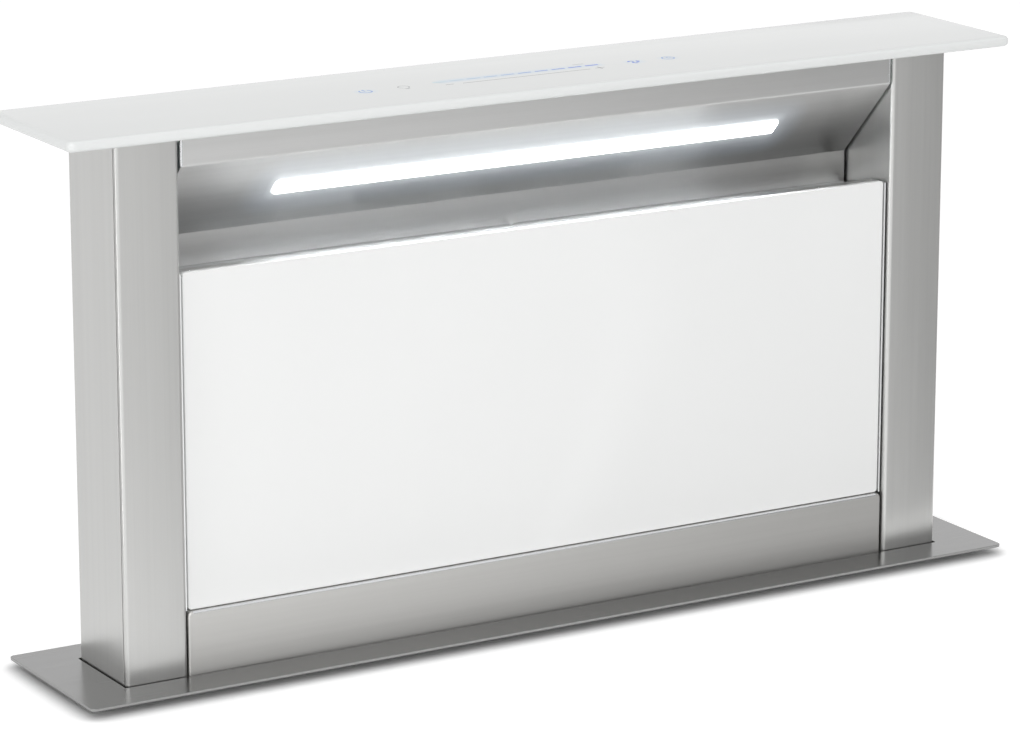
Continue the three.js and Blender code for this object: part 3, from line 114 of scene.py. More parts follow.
def zinc_coated_sheet():
    material, tree, surface = shader("zinc_coated_sheet", (0.5, 0.52, 0.53), 0.4, 1.0)
    crystals = node(tree, "TexVoronoi", Vector=in_metres(tree), Scale=260.0)
    one_tone = node(tree, "SeparateColor", Color=crystals.outputs["Color"]).outputs["Red"]
    rolled = node(tree, "TexNoise", Vector=in_metres(tree, (900, 900, 12)), Scale=1.0, Detail=3.0)
    vary(surface, "Base Color", one_tone, (0.0, (0.47, 0.49, 0.50)), (1.0, (0.54, 0.56, 0.57)))
    vary(surface, "Roughness", one_tone, (0.0, 0.36), (1.0, 0.46))
    relief(tree, surface, rolled.outputs["Fac"], 0.00002)
    return material


def finish(names, material):
    for name in names:
        nodes[name].material_slots[0].material = material


zinc = zinc_coated_sheet()
finish(["foot_left", "foot_right"], zinc)

# ---------------------------------------------------------------------------------------------
# Housing. The shaft that the tower sinks into: five sheets of zinc-coated steel, the front and
# the back folded round the two side channels and riveted to them through the overlap.


def turned(profile, steps=24, six_sided=()):
    points, faces = [], []
    for i, (radius, height) in enumerate(profile):
        for step in range(steps):
            angle = 2 * math.pi * step / steps
            reach = radius
            if i in six_sided:
                reach = radius / math.cos((angle % (math.pi / 3)) - math.pi / 6)
            points.append(Vector((reach * math.cos(angle), reach * math.sin(angle), height)))
    for i in range(len(profile) - 1):
        for step in range(steps):
            after = (step + 1) % steps
            row, above = i * steps, (i + 1) * steps
            faces.append((row + step, row + after, above + after, above + step))
    return points, faces


def placed(form, at=(0, 0, 0), facing=(0, 0, 1)):
    turn = Vector((0, 0, 1)).rotation_difference(Vector(facing)).to_matrix()
    return [turn @ p + Vector(at) for p in form[0]], form[1]


def together(forms):
    points, faces = [], []
    for some_points, some_faces in forms:
        start = len(points)
        points.extend(some_points)
        faces.extend(tuple(start + i for i in face) for face in some_faces)
    return points, faces


def piece(name, form, material, body, smooth_below=35.0):
    mesh = bpy.data.meshes.new(name)
    mesh.from_pydata([p * 0.001 for p in form[0]], [], form[1])
    build = bmesh.new()
    build.from_mesh(mesh)
    bmesh.ops.remove_doubles(build, verts=build.verts, dist=1e-7)
    bmesh.ops.dissolve_degenerate(build, edges=build.edges, dist=1e-7)
    bmesh.ops.recalc_face_normals(build, faces=build.faces)
    build.to_mesh(mesh)
    build.free()
    mesh.materials.append(material)
    mesh.shade_smooth()
    mesh.set_sharp_from_angle(angle=math.radians(smooth_below))
    made = bpy.data.objects.new(name, mesh)
    bpy.context.scene.collection.objects.link(made)
    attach(made, body)
    return made


def corners_mm(name):
    low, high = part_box(name)
    return low * 1000, high * 1000


rivet = turned([(3.2, 0), (3.2, 0.3), (2.9, 0.9), (2.2, 1.4), (1.1, 1.7), (0, 1.75)], 20)
shaft_low, shaft_high = corners_mm("housing_front")
lap_middle, rivets_in_a_row, below_first, above_last = 29, 8, 25, 75
rivet_pitch = (shaft_high.z - shaft_low.z - below_first - above_last) / (rivets_in_a_row - 1)
rivets = [
    placed(rivet, (side * shaft_high.x, lap_y, shaft_low.z + below_first + i * rivet_pitch), (side, 0, 0))
    for side in (-1, 1) for lap_y in (-lap_middle, lap_middle) for i in range(rivets_in_a_row)
]
piece("housing_rivets", together(rivets), zinc, "housing")
finish(["housing_front", "housing_back", "housing_left", "housing_right", "housing_base"], zinc)

# ---------------------------------------------------------------------------------------------
# Blower. A forward-curved impeller of spun and rolled aluminium turns in a rolled steel scroll,
# inside a box with a pressed cover. The motor hangs on three arms in front of the scroll.


def spun_aluminium():
    material, tree, surface = shader("spun_aluminium", (0.66, 0.67, 0.68), 0.36, 1.0)
    rings = node(tree, "TexNoise", Vector=in_metres(tree, (700, 60, 700)), Scale=1.0, Detail=4.0)
    vary(surface, "Roughness", rings.outputs["Fac"], (0.3, 0.28), (0.7, 0.46))
    vary(surface, "Base Color", rings.outputs["Fac"], (0.2, (0.58, 0.59, 0.6)), (0.8, (0.7, 0.71, 0.72)))
    relief(tree, surface, rings.outputs["Fac"], 0.00002, 0.0003)
    return material


def painted_can():
    material, tree, surface = shader("black_motor_paint", (0.03, 0.032, 0.034), 0.42)
    peel = node(tree, "TexNoise", Vector=in_metres(tree), Scale=900.0, Detail=2.0)
    vary(surface, "Roughness", peel.outputs["Fac"], (0.3, 0.34), (0.7, 0.5))
    relief(tree, surface, peel.outputs["Fac"], 0.00004, 0.0005)
    return material


aluminium = spun_aluminium()
motor_paint = painted_can()
finish(["impeller", "inlet_ring"], aluminium)
finish(["blower_motor"], motor_paint)
finish(["scroll_housing", "scroll_back", "blower_box", "blower_cover", "motor_bracket"], zinc)


def polished_steel():
    material, tree, surface = shader("polished_steel", (0.68, 0.69, 0.7), 0.16, 1.0)
    smears = node(tree, "TexNoise", Vector=in_metres(tree, (40, 40, 14)), Scale=2.0, Detail=5.0)
    vary(surface, "Roughness", smears.outputs["Fac"], (0.35, 0.12), (0.7, 0.22))
    relief(tree, surface, smears.outputs["Fac"], 0.00001, 0.0003)
    return material


polished = polished_steel()
pan_head = turned([
    (4.0, 0), (4.0, 1.2), (3.6, 1.9), (2.8, 2.4), (1.9, 2.5), (1.7, 2.4), (1.7, 1.0), (0, 1.0),
], 24, six_sided=(5, 6))
cover_low, cover_high = corners_mm("blower_cover")
cover_sheet, screw_inset = 1.2, 10.0
cover_face = cover_high.y - cover_sheet
xs = [cover_low.x + screw_inset, (cover_low.x + cover_high.x) / 2, cover_high.x - screw_inset]
zs = [cover_low.z + screw_inset, (cover_low.z + cover_high.z) / 2, cover_high.z - screw_inset]
around = [(x, z) for x in xs for z in zs if (x, z) != (xs[1], zs[1])]
cover_screws = [placed(pan_head, (x, cover_face, z), (0, -1, 0)) for x, z in around]
piece("blower_cover_screws", together(cover_screws), polished, "housing")

# ---------------------------------------------------------------------------------------------
# Outlet. A moulded grey spigot for a 150 mm duct, with a rolled bead near its mouth. Two half
# discs of the same plastic hang on an upright steel pin, and shut when no air pushes on them.


def moulded_plastic(name, colour, grain):
    material, tree, surface = shader(name, colour, 0.5)
    pits = node(tree, "TexNoise", Vector=in_metres(tree), Scale=grain, Detail=3.0)
    pale = tuple(min(1.0, c * 1.12 + 0.004) for c in colour)
    vary(surface, "Base Color", pits.outputs["Fac"], (0.3, colour), (0.75, pale))
    vary(surface, "Roughness", pits.outputs["Fac"], (0.3, 0.42), (0.7, 0.6))
    relief(tree, surface, pits.outputs["Fac"], 0.00005, 0.0005)
    return material


grey_plastic = moulded_plastic("grey_moulded_plastic", (0.26, 0.27, 0.28), 1400.0)
spigot_low, spigot_high = corners_mm("outlet_collar")
bore, wall, foot_rim, stop_depth, stop_rim = 73.0, 1.2, 4, 20.9, 5
root = spigot_low.x + 0.3
mouth = spigot_high.x
stop = spigot_low.x + stop_depth
outside = bore + wall
spigot_profile = [
    (bore, root), (outside + foot_rim, root), (outside + foot_rim, root + wall), (outside + 0.8, root + wall),
    (outside, root + wall + 0.8), (outside, mouth - 12.5), (outside + 1.2, mouth - 11.6),
    (outside + 1.9, mouth - 10.6), (outside + 1.9, mouth - 9.4), (outside + 1.2, mouth - 8.4),
    (outside, mouth - 7.5), (outside, mouth - 0.4), (outside - 0.4, mouth), (bore + 0.3, mouth),
    (bore, mouth - 0.4), (bore, stop), (bore - stop_rim, stop), (bore - stop_rim, stop - wall),
    (bore, stop - wall), (bore, root),
]
spigot_axis = (spigot_low + spigot_high) / 2
spigot = piece(
    "outlet_spigot",
    placed(turned(spigot_profile, 128), (0, spigot_axis.y, spigot_axis.z), (1, 0, 0)),
    grey_plastic, "housing",
)
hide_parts("outlet_collar")
finish(["flap_front", "flap_rear"], grey_plastic)
finish(["flap_pin"], polished)

# ---------------------------------------------------------------------------------------------
# Control box. A dark moulded box with a lid held by four screws. The mains lead goes in through
# the gland under it: a ribbed nut on a threaded neck.

dark_plastic = moulded_plastic("dark_moulded_plastic", (0.028, 0.029, 0.031), 1800.0)
finish(["control_box", "control_lid"], dark_plastic)
lid_low, lid_high = corners_mm("control_lid")
lid_inset = 9
lid_screws = [
    placed(pan_head, (x, lid_low.y, z), (0, -1, 0))
    for x in (lid_low.x + lid_inset, lid_high.x - lid_inset)
    for z in (lid_low.z + lid_inset, lid_high.z - lid_inset)
]
piece("control_lid_screws", together(lid_screws), polished, "housing")

gland_low, gland_high = corners_mm("cable_gland")
length = gland_high.z - gland_low.z
lead_bore, neck, dome, hexagon, hexagon_edge, ribs_round = 4.0, 7.6, 9.2, 9.483, 9.222, 24
nut = turned([
    (lead_bore, 0), (6.2, 0), (7.4, 1.0), (8.6, 3.2), (dome, 5.4), (dome, length - 15.5),
    (hexagon, length - 15.0), (hexagon, length - 9.4), (hexagon_edge, length - 8.9), (neck, length - 8.9),
    (neck, length), (lead_bore, length), (lead_bore, 0),
], 48, six_sided=(6, 7, 8))
rib = turned([(0, 5.6), (0.55, 5.8), (0.55, length - 16.2), (0, length - 16.0)], 8)
ribs = []
for i in range(ribs_round):
    angle = 2 * math.pi * i / ribs_round
    ribs.append(placed(rib, (dome * math.cos(angle), dome * math.sin(angle), 0)))
middle = (gland_low + gland_high) / 2
gland = piece("ribbed_gland", placed(together([nut, *ribs]), (middle.x, middle.y, gland_low.z)),
              dark_plastic, "housing")
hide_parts("cable_gland")

# ---------------------------------------------------------------------------------------------
# Lift actuator. An electric motor and gearbox drive a screw inside an aluminium tube, and the
# ground steel rod pushes the tower up. A folded bracket holds it to the housing's floor on a pin.

finish(["actuator_tube"], aluminium)
finish(["actuator_gearbox"], dark_plastic)
finish(["actuator_motor"], motor_paint)
finish(["actuator_bracket"], zinc)
finish(["actuator_rod", "rod_pin", "base_pin"], polished)

# ---------------------------------------------------------------------------------------------
# Telescopic slides. Three rolled steel members on each side: the outer is riveted to the housing,
# the inner to the tower, and the middle one runs half as far between them.

for side in ("left", "right"):
    finish([f"rail_outer_{side}", f"rail_middle_{side}", f"rail_inner_{side}"], zinc)

# ---------------------------------------------------------------------------------------------
# Worktop flange, its rubber wiper and its clamps. The flange is one stainless plate, brushed
# along its length, with a collar folded down round the tower. Angles pull it on to the worktop.


def reckon(tree, kind, operation, *values, **settings):
    made = node(tree, kind, {"operation": operation, **settings})
    for socket, value in zip(made.inputs, values):
        if isinstance(value, bpy.types.NodeSocket):
            tree.links.new(value, socket)
        else:
            socket.default_value = value
    return made.outputs["Value" if kind == "Math" or operation in ("DOT_PRODUCT", "LENGTH") else "Vector"]


def brushed_steel(name, colour, along, roughness, streak=0.55):
    material, tree, surface = shader(name, colour, roughness, 1.0, Anisotropic=streak)
    fine = [1500.0, 1500.0, 1500.0]
    fine["XYZ".index(along)] = 9.0
    broad = [260.0, 260.0, 260.0]
    broad["XYZ".index(along)] = 2.0
    lines = node(tree, "TexNoise", Vector=in_metres(tree, fine), Scale=1.0, Detail=4.0, Roughness=0.65)
    bands = node(tree, "TexNoise", Vector=in_metres(tree, broad), Scale=1.0, Detail=3.0)
    both = reckon(tree, "Math", "MULTIPLY", lines.outputs["Fac"], bands.outputs["Fac"])
    dark = tuple(c * 0.97 for c in colour)
    pale = tuple(min(1.0, c * 1.02) for c in colour)
    vary(surface, "Base Color", both, (0.12, dark), (0.25, colour), (0.4, pale))
    vary(surface, "Roughness", lines.outputs["Fac"], (0.3, roughness - 0.03), (0.7, roughness + 0.04))
    tangent = node(tree, "Tangent", {"direction_type": "RADIAL", "axis": along})
    tree.links.new(tangent.outputs["Tangent"], surface.inputs["Tangent"])
    relief(tree, surface, lines.outputs["Fac"], 0.000015, 0.0005)
    return material


# Painted shade: the flange's stainless is made far darker than the tower's (0.30 against 0.55).
flange_steel = brushed_steel("flange_brushed_steel", (0.30, 0.30, 0.298), "X", 0.24)
finish(["worktop_flange"], flange_steel)

rubber, rubber_tree, rubber_surface = shader("wiper_rubber", (0.012, 0.012, 0.012), 0.75)
bloom = node(rubber_tree, "TexNoise", Vector=in_metres(rubber_tree), Scale=300.0, Detail=3.0)
vary(rubber_surface, "Roughness", bloom.outputs["Fac"], (0.3, 0.65), (0.7, 0.85))
relief(rubber_tree, rubber_surface, bloom.outputs["Fac"], 0.00003)
finish(["wiper_seal"], rubber)
finish(["clamp_left", "clamp_right"], zinc)
clamp_low = corners_mm("clamp_right")[0]
clamp_sheet, screw_height, screw_spread = 1.5, 15, 8
clamp_screws = [
    placed(pan_head, (side * (clamp_low.x + clamp_sheet), y, clamp_low.z + screw_height), (side, 0, 0))
    for side in (-1, 1) for y in (-screw_spread, screw_spread)
]
piece("clamp_screws", together(clamp_screws), polished, "housing")

# ---------------------------------------------------------------------------------------------
# Tower columns. Each is one stainless sheet folded into an open box, brushed from top to bottom.
# The folds catch the light as a narrow bright line, with a fine seam just behind the front one.


def sheet_section(path, thickness, inside_radius, steps):
    points = [Vector(p) for p in path]
    near, far = [], []
    for i, corner in enumerate(points):
        into = (corner - points[i - 1]).normalized() if i else None
        out = (points[i + 1] - corner).normalized() if i < len(points) - 1 else None
        if into is None or out is None:
            way = out if into is None else into
            near.append(corner)
            far.append(corner + Vector((-way.y, way.x)) * thickness)
            continue
        turn = math.atan2(into.x * out.y - into.y * out.x, into.dot(out))
        side = 1 if turn > 0 else -1
        radius = inside_radius + thickness if side > 0 else inside_radius
        start = corner - into * radius * math.tan(abs(turn) / 2)
        centre = start + Vector((-into.y, into.x)) * side * radius
        for step in range(steps + 1):
            angle = turn * step / steps
            spoke = start - centre
            spoke = Vector((
                spoke.x * math.cos(angle) - spoke.y * math.sin(angle),
                spoke.x * math.sin(angle) + spoke.y * math.cos(angle),
            ))
            near.append(centre + spoke)
            far.append(centre + spoke * (radius - side * thickness) / radius)
    return near, far


def folded(section, low, high, place):
    near, far = section
    count = len(near)
    points = [place(p.x, p.y, w) for w in (low, high) for line in (near, far) for p in line]
    faces = []
    for i in range(count - 1):
        a, b, c, d = i, count + i, 2 * count + i, 3 * count + i
        faces.append((a, a + 1, c + 1, c))
        faces.append((b + 1, b, d, d + 1))
        faces.append((a + 1, a, b, b + 1))
        faces.append((c, c + 1, d + 1, d))
    faces.append((0, 2 * count, 3 * count, count))
    faces.append((count - 1, 2 * count - 1, 4 * count - 1, 3 * count - 1))
    return points, faces


column_steel = brushed_steel("column_brushed_steel", (0.55, 0.55, 0.54), "Z", 0.33)
column_sheet, column_bend, bend_steps, cheek_lip, back_fold = 1.2, 1.0, 8, 5, 21
seam_start, seam_end, seam_deep = 2.3, 3.4, 0.9
seam = ((seam_start, 0), (seam_start + 0.1, seam_deep), (seam_end - 0.1, seam_deep), (seam_end, 0))
for side, name in ((-1, "column_left"), (1, "column_right")):
    low, high = corners_mm(name)
    cheek, outer = sorted((abs(low.x), abs(high.x)))
    path = [(cheek, high.y - cheek_lip), (cheek, low.y), (outer, low.y), (outer, high.y),
            (outer - back_fold, high.y)]
    near, far = sheet_section(path, column_sheet, column_bend, bend_steps)
    past_front_bend = 1 + 2 * (bend_steps + 1)
    for i, (back, deep) in enumerate(seam):
        near.insert(past_front_bend + i, Vector((outer - deep, low.y + back)))
        far.insert(past_front_bend + i, Vector((outer - column_sheet, low.y + back)))
    column = piece(
        name + "_sheet",
        folded((near, far), low.z, high.z, lambda x, y, z, side=side: Vector((side * x, y, z))),
        column_steel, "tower", 20.0,
    )
    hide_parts(name)

# ---------------------------------------------------------------------------------------------
# Lift crossbar and foot tie. Zinc-coated folded sheets, welded between the columns' inner cheeks.

finish(["lift_crossbar", "tail_tie"], zinc)

# ---------------------------------------------------------------------------------------------
# Lamp panel. One stainless sheet folded into the lip under the cap, the sloping face that holds
# the lamp, and the back wall of the air duct. Its grain runs across.

lamp_steel = brushed_steel("lamp_panel_steel", (0.58, 0.58, 0.575), "X", 0.38, streak=0.76)
finish(["lamp_panel"], lamp_steel)
panel_low, panel_high = corners_mm("lamp_panel")
hem_radius, lip_foot, lip_top = 1.2, 282.6, 299.4


def quarter_bar(start, end, front, side, radius, steps=8):
    turns = [math.pi / 2 * k / steps for k in range(steps + 1)]
    rim = [Vector((0, 0, 0))] + [(front * math.cos(a) + side * math.sin(a)) * radius for a in turns]
    points = [Vector(at) + p for at in (start, end) for p in rim]
    count = len(rim)
    faces = [tuple(reversed(range(count))), tuple(range(count, 2 * count))]
    faces += [(i, (i + 1) % count, count + (i + 1) % count, count + i) for i in range(count)]
    return points, faces


forward, upward = Vector((0, -1, 0)), Vector((0, 0, 1))
hems = []
for side in (-1, 1):
    x, y = side * (panel_high.x - hem_radius + 0.3), panel_low.y + hem_radius - 0.25
    hems.append(quarter_bar((x, y, lip_foot), (x, y, lip_top), forward, Vector((side, 0, 0)), hem_radius))
piece("lip_end_hems", together(hems), polished, "tower")

# ---------------------------------------------------------------------------------------------
# Lamp. A frosted bar is set into the slope, with a narrow circuit board of light sources behind it.

lamp, lamp_tree, lamp_surface = shader("frosted_lamp", (0.95, 0.96, 0.97), 0.35)
lamp_length, lamp_width, lamp_corner, lamp_proud, lamp_deep = 325.0, 12.6, 3.0, 1.9, 3.5
lamp_low, lamp_high = corners_mm("led_diffuser")
slope_up = Vector((0, -44.7, 47.0)).normalized()
slope_out = Vector((0, -slope_up.z, slope_up.y))
lamp_middle = (lamp_low + lamp_high) / 2 + slope_out * (lamp_deep - lamp_proud) / 2


def off_bar(tree, middle, across, half_length, half_width):
    place = reckon(tree, "VectorMath", "SUBTRACT", in_metres(tree), middle * 0.001)
    past = []
    for way, half in ((Vector((1, 0, 0)), half_length), (across, half_width)):
        along = reckon(tree, "VectorMath", "DOT_PRODUCT", place, way)
        size = reckon(tree, "Math", "ABSOLUTE", along)
        past.append(reckon(tree, "Math", "SUBTRACT", size, half * 0.001, use_clamp=True))
    both = node(tree, "CombineXYZ", X=past[0], Y=past[1]).outputs["Vector"]
    return reckon(tree, "VectorMath", "LENGTH", both)


def off_lamp(tree, inset_x, inset_y, reach):
    away = off_bar(tree, lamp_middle, slope_up, lamp_length / 2 - inset_x, lamp_width / 2 - inset_y)
    return node(tree, "MapRange", Value=away, From_Max=reach * 0.001).outputs["Result"]


vary(lamp_surface, "Emission Color", off_lamp(lamp_tree, 2.2, 2.8, 2.8),
     (0.0, (0.95, 0.985, 1.0)), (0.3, 0.22), (0.6, 0.043), (1.0, 0.023))
lamp_surface.inputs["Emission Strength"].default_value = 22.0
frost = node(lamp_tree, "TexNoise", Vector=in_metres(lamp_tree), Scale=60.0, Detail=2.0)
vary(lamp_surface, "Base Color", frost.outputs["Fac"], (0.2, (0.86, 0.9, 0.94)), (0.8, (0.92, 0.94, 0.96)))

# Painted glow: emission on the lamp panel's steel, bluish white at the lamp and gone 22 mm away.
lamp_steel_surface = lamp_steel.node_tree.nodes["Principled BSDF"]
vary(lamp_steel_surface, "Emission Color", off_lamp(lamp_steel.node_tree, 3, 0, 22.0),
     (0.0, (0.42, 0.445, 0.47)), (0.12, (0.25, 0.275, 0.3)), (0.32, (0.11, 0.125, 0.145)),
     (0.6, (0.04, 0.05, 0.062)), (1.0, 0.0))
lamp_steel_surface.inputs["Emission Strength"].default_value = 1.0


def rounded_stack(across, along, corner, rows, place, steps=8):
    outline = []
    corners = ((across[1], along[0]), (across[1], along[1]), (across[0], along[1]), (across[0], along[0]))
    for i, (x, y) in enumerate(corners):
        inner = Vector((
            x - math.copysign(corner, x - sum(across) / 2),
            y - math.copysign(corner, y - sum(along) / 2),
        ))
        for step in range(steps + 1):
            angle = math.pi / 2 * (i - 1 + step / steps)
            outline.append((inner, Vector((math.cos(angle), math.sin(angle)))))
    points = [
        place(*(inner + way * (corner - inset)), level)
        for inset, level in rows for inner, way in outline
    ]
    count = len(outline)
    faces = [tuple(reversed(range(count))), tuple((len(rows) - 1) * count + i for i in range(count))]
    for below in range(0, (len(rows) - 1) * count, count):
        for i in range(count):
            after = (i + 1) % count
            faces.append((below + i, below + after, below + count + after, below + count + i))
    return points, faces


crown = [math.pi / 16 * k for k in range(1, 9)]
lens_rows = [(0.0, -lamp_deep), (0.0, 0.0)]
lens_rows += [(lamp_corner * 0.9 * (1 - math.cos(a)), lamp_proud * math.sin(a)) for a in crown]
half_lamp, half_up = lamp_length / 2, lamp_width / 2
lens = piece(
    "lamp_lens",
    rounded_stack((-half_lamp, half_lamp), (-half_up, half_up), lamp_corner, lens_rows,
                  lambda x, up, out: lamp_middle + Vector((x, 0, 0)) + slope_up * up + slope_out * out),
    lamp, "tower", 50.0,
)
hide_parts("led_diffuser")

board, board_tree, board_surface = shader("circuit_board", (0.01, 0.09, 0.045), 0.4)
tracks = node(board_tree, "TexBrick", Vector=in_metres(board_tree), Scale=90.0, Mortar_Size=0.03)
vary(board_surface, "Base Color", tracks.outputs["Fac"], (0.0, (0.01, 0.09, 0.045)), (1.0, (0.05, 0.2, 0.09)))
relief(board_tree, board_surface, tracks.outputs["Fac"], 0.00003, 0.0002)
finish(["led_board", "touch_board", "control_board"], board)

# ---------------------------------------------------------------------------------------------
# Grease filters. Two aluminium frames with pulls, each round a pleated pack of woven wire.

finish(["filter_frame_left", "filter_frame_right"], aluminium)
wire, wire_tree, wire_surface = shader("woven_wire", (0.6, 0.61, 0.62), 0.38, 1.0)
wires = [
    node(wire_tree, "TexWave", {"bands_direction": way}, Vector=in_metres(wire_tree), Scale=130.0,
         Distortion=0.4).outputs["Fac"]
    for way in ("X", "Z")
]
weave = reckon(wire_tree, "Math", "MAXIMUM", *wires)
vary(wire_surface, "Base Color", weave, (0.4, (0.06, 0.06, 0.06)), (0.8, (0.62, 0.63, 0.64)))
relief(wire_tree, wire_surface, weave, 0.0004, 0.0002)
finish(["filter_mesh_left", "filter_mesh_right"], wire)

# ---------------------------------------------------------------------------------------------
# Glass front. White tempered glass with ground and polished edges, glued to a folded steel tray
# that clips on to two catches. The tray's top edge is turned back over the filters.


def white_glass(name, colour):
    material, tree, surface = shader(name, colour, 0.06, 0.0, Specular_IOR_Level=0.5)
    waves = node(tree, "TexNoise", Vector=in_metres(tree), Scale=9.0, Detail=1.0)
    pale = tuple(min(1.0, c * 1.01) for c in colour)
    vary(surface, "Base Color", waves.outputs["Fac"], (0.3, colour), (0.7, pale))
    vary(surface, "Roughness", waves.outputs["Fac"], (0.3, 0.05), (0.7, 0.08))
    relief(tree, surface, waves.outputs["Fac"], 0.00003, 0.0004)
    return material


def glass_plate(across, along, faces_at, corner, edge, place):
    quarter = [math.pi / 8 * k for k in range(5)]
    rounds = [(edge * (1 - math.cos(a)), edge * (1 - math.sin(a))) for a in quarter]
    rows = [(inset, faces_at[0] + drop) for inset, drop in reversed(rounds)]
    rows += [(inset, faces_at[1] - drop) for inset, drop in rounds]
    return rounded_stack(across, along, corner, rows, place, 12)


front_white = white_glass("front_white_glass", (0.875, 0.88, 0.875))
low, high = corners_mm("front_glass")
pane = piece(
    "front_pane",
    glass_plate((low.x, high.x), (low.z, high.z), (-high.y, -low.y), 2.0, 0.6,
                lambda x, z, out: Vector((x, -out, z))),
    front_white, "tower", 50.0,
)
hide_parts("front_glass")
satin, satin_tree, satin_surface = shader("satin_steel", (0.86, 0.87, 0.87), 0.42, 1.0)
rubbed = node(satin_tree, "TexNoise", Vector=in_metres(satin_tree, (60, 60, 300)), Scale=3.0, Detail=4.0)
vary(satin_surface, "Roughness", rubbed.outputs["Fac"], (0.3, 0.38), (0.7, 0.48))
relief(satin_tree, satin_surface, rubbed.outputs["Fac"], 0.00001, 0.0003)
finish(["glass_carrier"], satin)
carrier_high = corners_mm("glass_carrier")[1]
filter_front = corners_mm("filter_frame_left")[0].y
return_end, return_sheet, return_lip = 226.5, 1.0, 3.0
return_start, return_stop = carrier_high.y - 0.9, filter_front - 0.5
section = [
    (return_start, 0), (return_stop, 0), (return_stop, return_lip), (return_stop - return_sheet, return_lip),
    (return_stop - return_sheet, return_sheet), (return_start, return_sheet),
]
return_top = carrier_high.z - 0.1
top_return = [Vector((x, y, return_top - down)) for x in (-return_end, return_end) for y, down in section]
return_faces = [(0, 1, 2, 3, 4, 5), (11, 10, 9, 8, 7, 6)]
return_faces += [(i, i + 6, (i + 1) % 6 + 6, (i + 1) % 6) for i in range(6)]
piece("carrier_top_return", (top_return, return_faces), lamp_steel, "tower")
finish(["glass_catch_left", "glass_catch_right"], dark_plastic)

# ---------------------------------------------------------------------------------------------
# Strip under the glass. A stainless channel with rounded top corners, brushed across. The glass
# carrier hooks into slots in its ledge, which this channel is built without.

strip_steel = brushed_steel("strip_brushed_steel", (0.565, 0.56, 0.545), "X", 0.44, streak=0.7)
low, high = corners_mm("lower_front_panel")
column_low, column_high = corners_mm("column_right")
strip_gap, strip_foot, strip_bend, strip_sheet, strip_corner = 1.2, 5.0, 1.3, 1.0, 3.2
strip_ledge = high.y - low.y
strip_end = column_low.x - strip_gap
inner_bend = strip_bend - strip_sheet
quarter = [math.pi / 12 * k for k in range(7)]
tray_rows = [(strip_bend * (1 - math.sin(a)), strip_bend * (1 - math.cos(a))) for a in quarter]
tray_rows += [(0, strip_ledge), (strip_sheet, strip_ledge)]
tray_rows += [(strip_sheet + inner_bend * (1 - math.sin(a)), strip_sheet + inner_bend * (1 - math.cos(a)))
              for a in reversed(quarter)]
strip = piece(
    "strip_sheet",
    rounded_stack((-strip_end, strip_end), (low.z, high.z), strip_corner, tray_rows,
                  lambda x, z, back: Vector((x, low.y + (min(back, strip_foot) if z < 0 else back), z))),
    strip_steel, "tower", 35.0,
)
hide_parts("lower_front_panel")
hem_x, hem_y, hem_z = strip_end - strip_corner, low.y + strip_bend - 0.06, high.z - strip_bend + 0.06
top_hem = quarter_bar((-hem_x, hem_y, hem_z), (hem_x, hem_y, hem_z), forward, upward, strip_bend)
piece("strip_top_hem", top_hem, polished, "tower")

# ---------------------------------------------------------------------------------------------
# Back panel. A plain stainless sheet behind the columns' folds, held by flush screws.

back_steel = brushed_steel("back_brushed_steel", (0.5, 0.5, 0.49), "X", 0.34)
finish(["tower_back_panel"], back_steel)
flush_head = turned([(3.4, 0), (3.3, 0.06), (1.6, 0.08), (1.5, -1.0), (0, -1.0)], 24, six_sided=(2, 3))
screw_line = column_high.x - 14
back_screws = [
    placed(flush_head, (side * screw_line, column_high.y, z), (0, 1, 0))
    for side in (-1, 1) for z in (30, 100, 170, 240, 285)
]
piece("back_panel_screws", together(back_screws), polished, "tower")

# ---------------------------------------------------------------------------------------------
# Cap. A white glass lid on a steel tray. The marks printed on it are touch keys: two at each side
# of a slider that runs from pale to blue. Round three of the keys and along the slider, a painted glow
# tints the glass's colour pale blue a little way into the glass.

finish(["cap_tray"], lamp_steel)
cap_white = white_glass("cap_white_glass", (0.80, 0.815, 0.81))
low, high = corners_mm("cap_glass")
lid = piece(
    "cap_pane",
    glass_plate((low.x, high.x), (low.y, high.y), (low.z, high.z), 4.0, 2.4,
                lambda x, y, z: Vector((x, y, z))),
    cap_white, "tower", 50.0,
)
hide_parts("cap_glass")

print_height = high.z + 0.02


def ribbon(points, width):
    line = [Vector(p) for p in points]
    shaped, faces = [], []
    for i, p in enumerate(line):
        way = (line[min(i + 1, len(line) - 1)] - line[max(i - 1, 0)]).normalized()
        off = Vector((-way.y, way.x)) * width / 2
        for q in (p + off, p - off):
            shaped.append(Vector((q.x, q.y, print_height)))
    for i in range(len(line) - 1):
        faces.append((2 * i, 2 * i + 1, 2 * i + 3, 2 * i + 2))
    return shaped, faces


def arc(x, y, radius, start, end, steps=24):
    angles = [math.radians(start + (end - start) * i / steps) for i in range(steps + 1)]
    return [(x + radius * math.cos(a), y + radius * math.sin(a)) for a in angles]


def ink(name, colour):
    material, tree, surface = shader(name, colour, 0.2)
    dots = node(tree, "TexNoise", Vector=in_metres(tree), Scale=4000.0, Detail=1.0)
    vary(surface, "Base Color", dots.outputs["Fac"], (0.3, colour), (0.7, tuple(c * 0.94 for c in colour)))
    return material


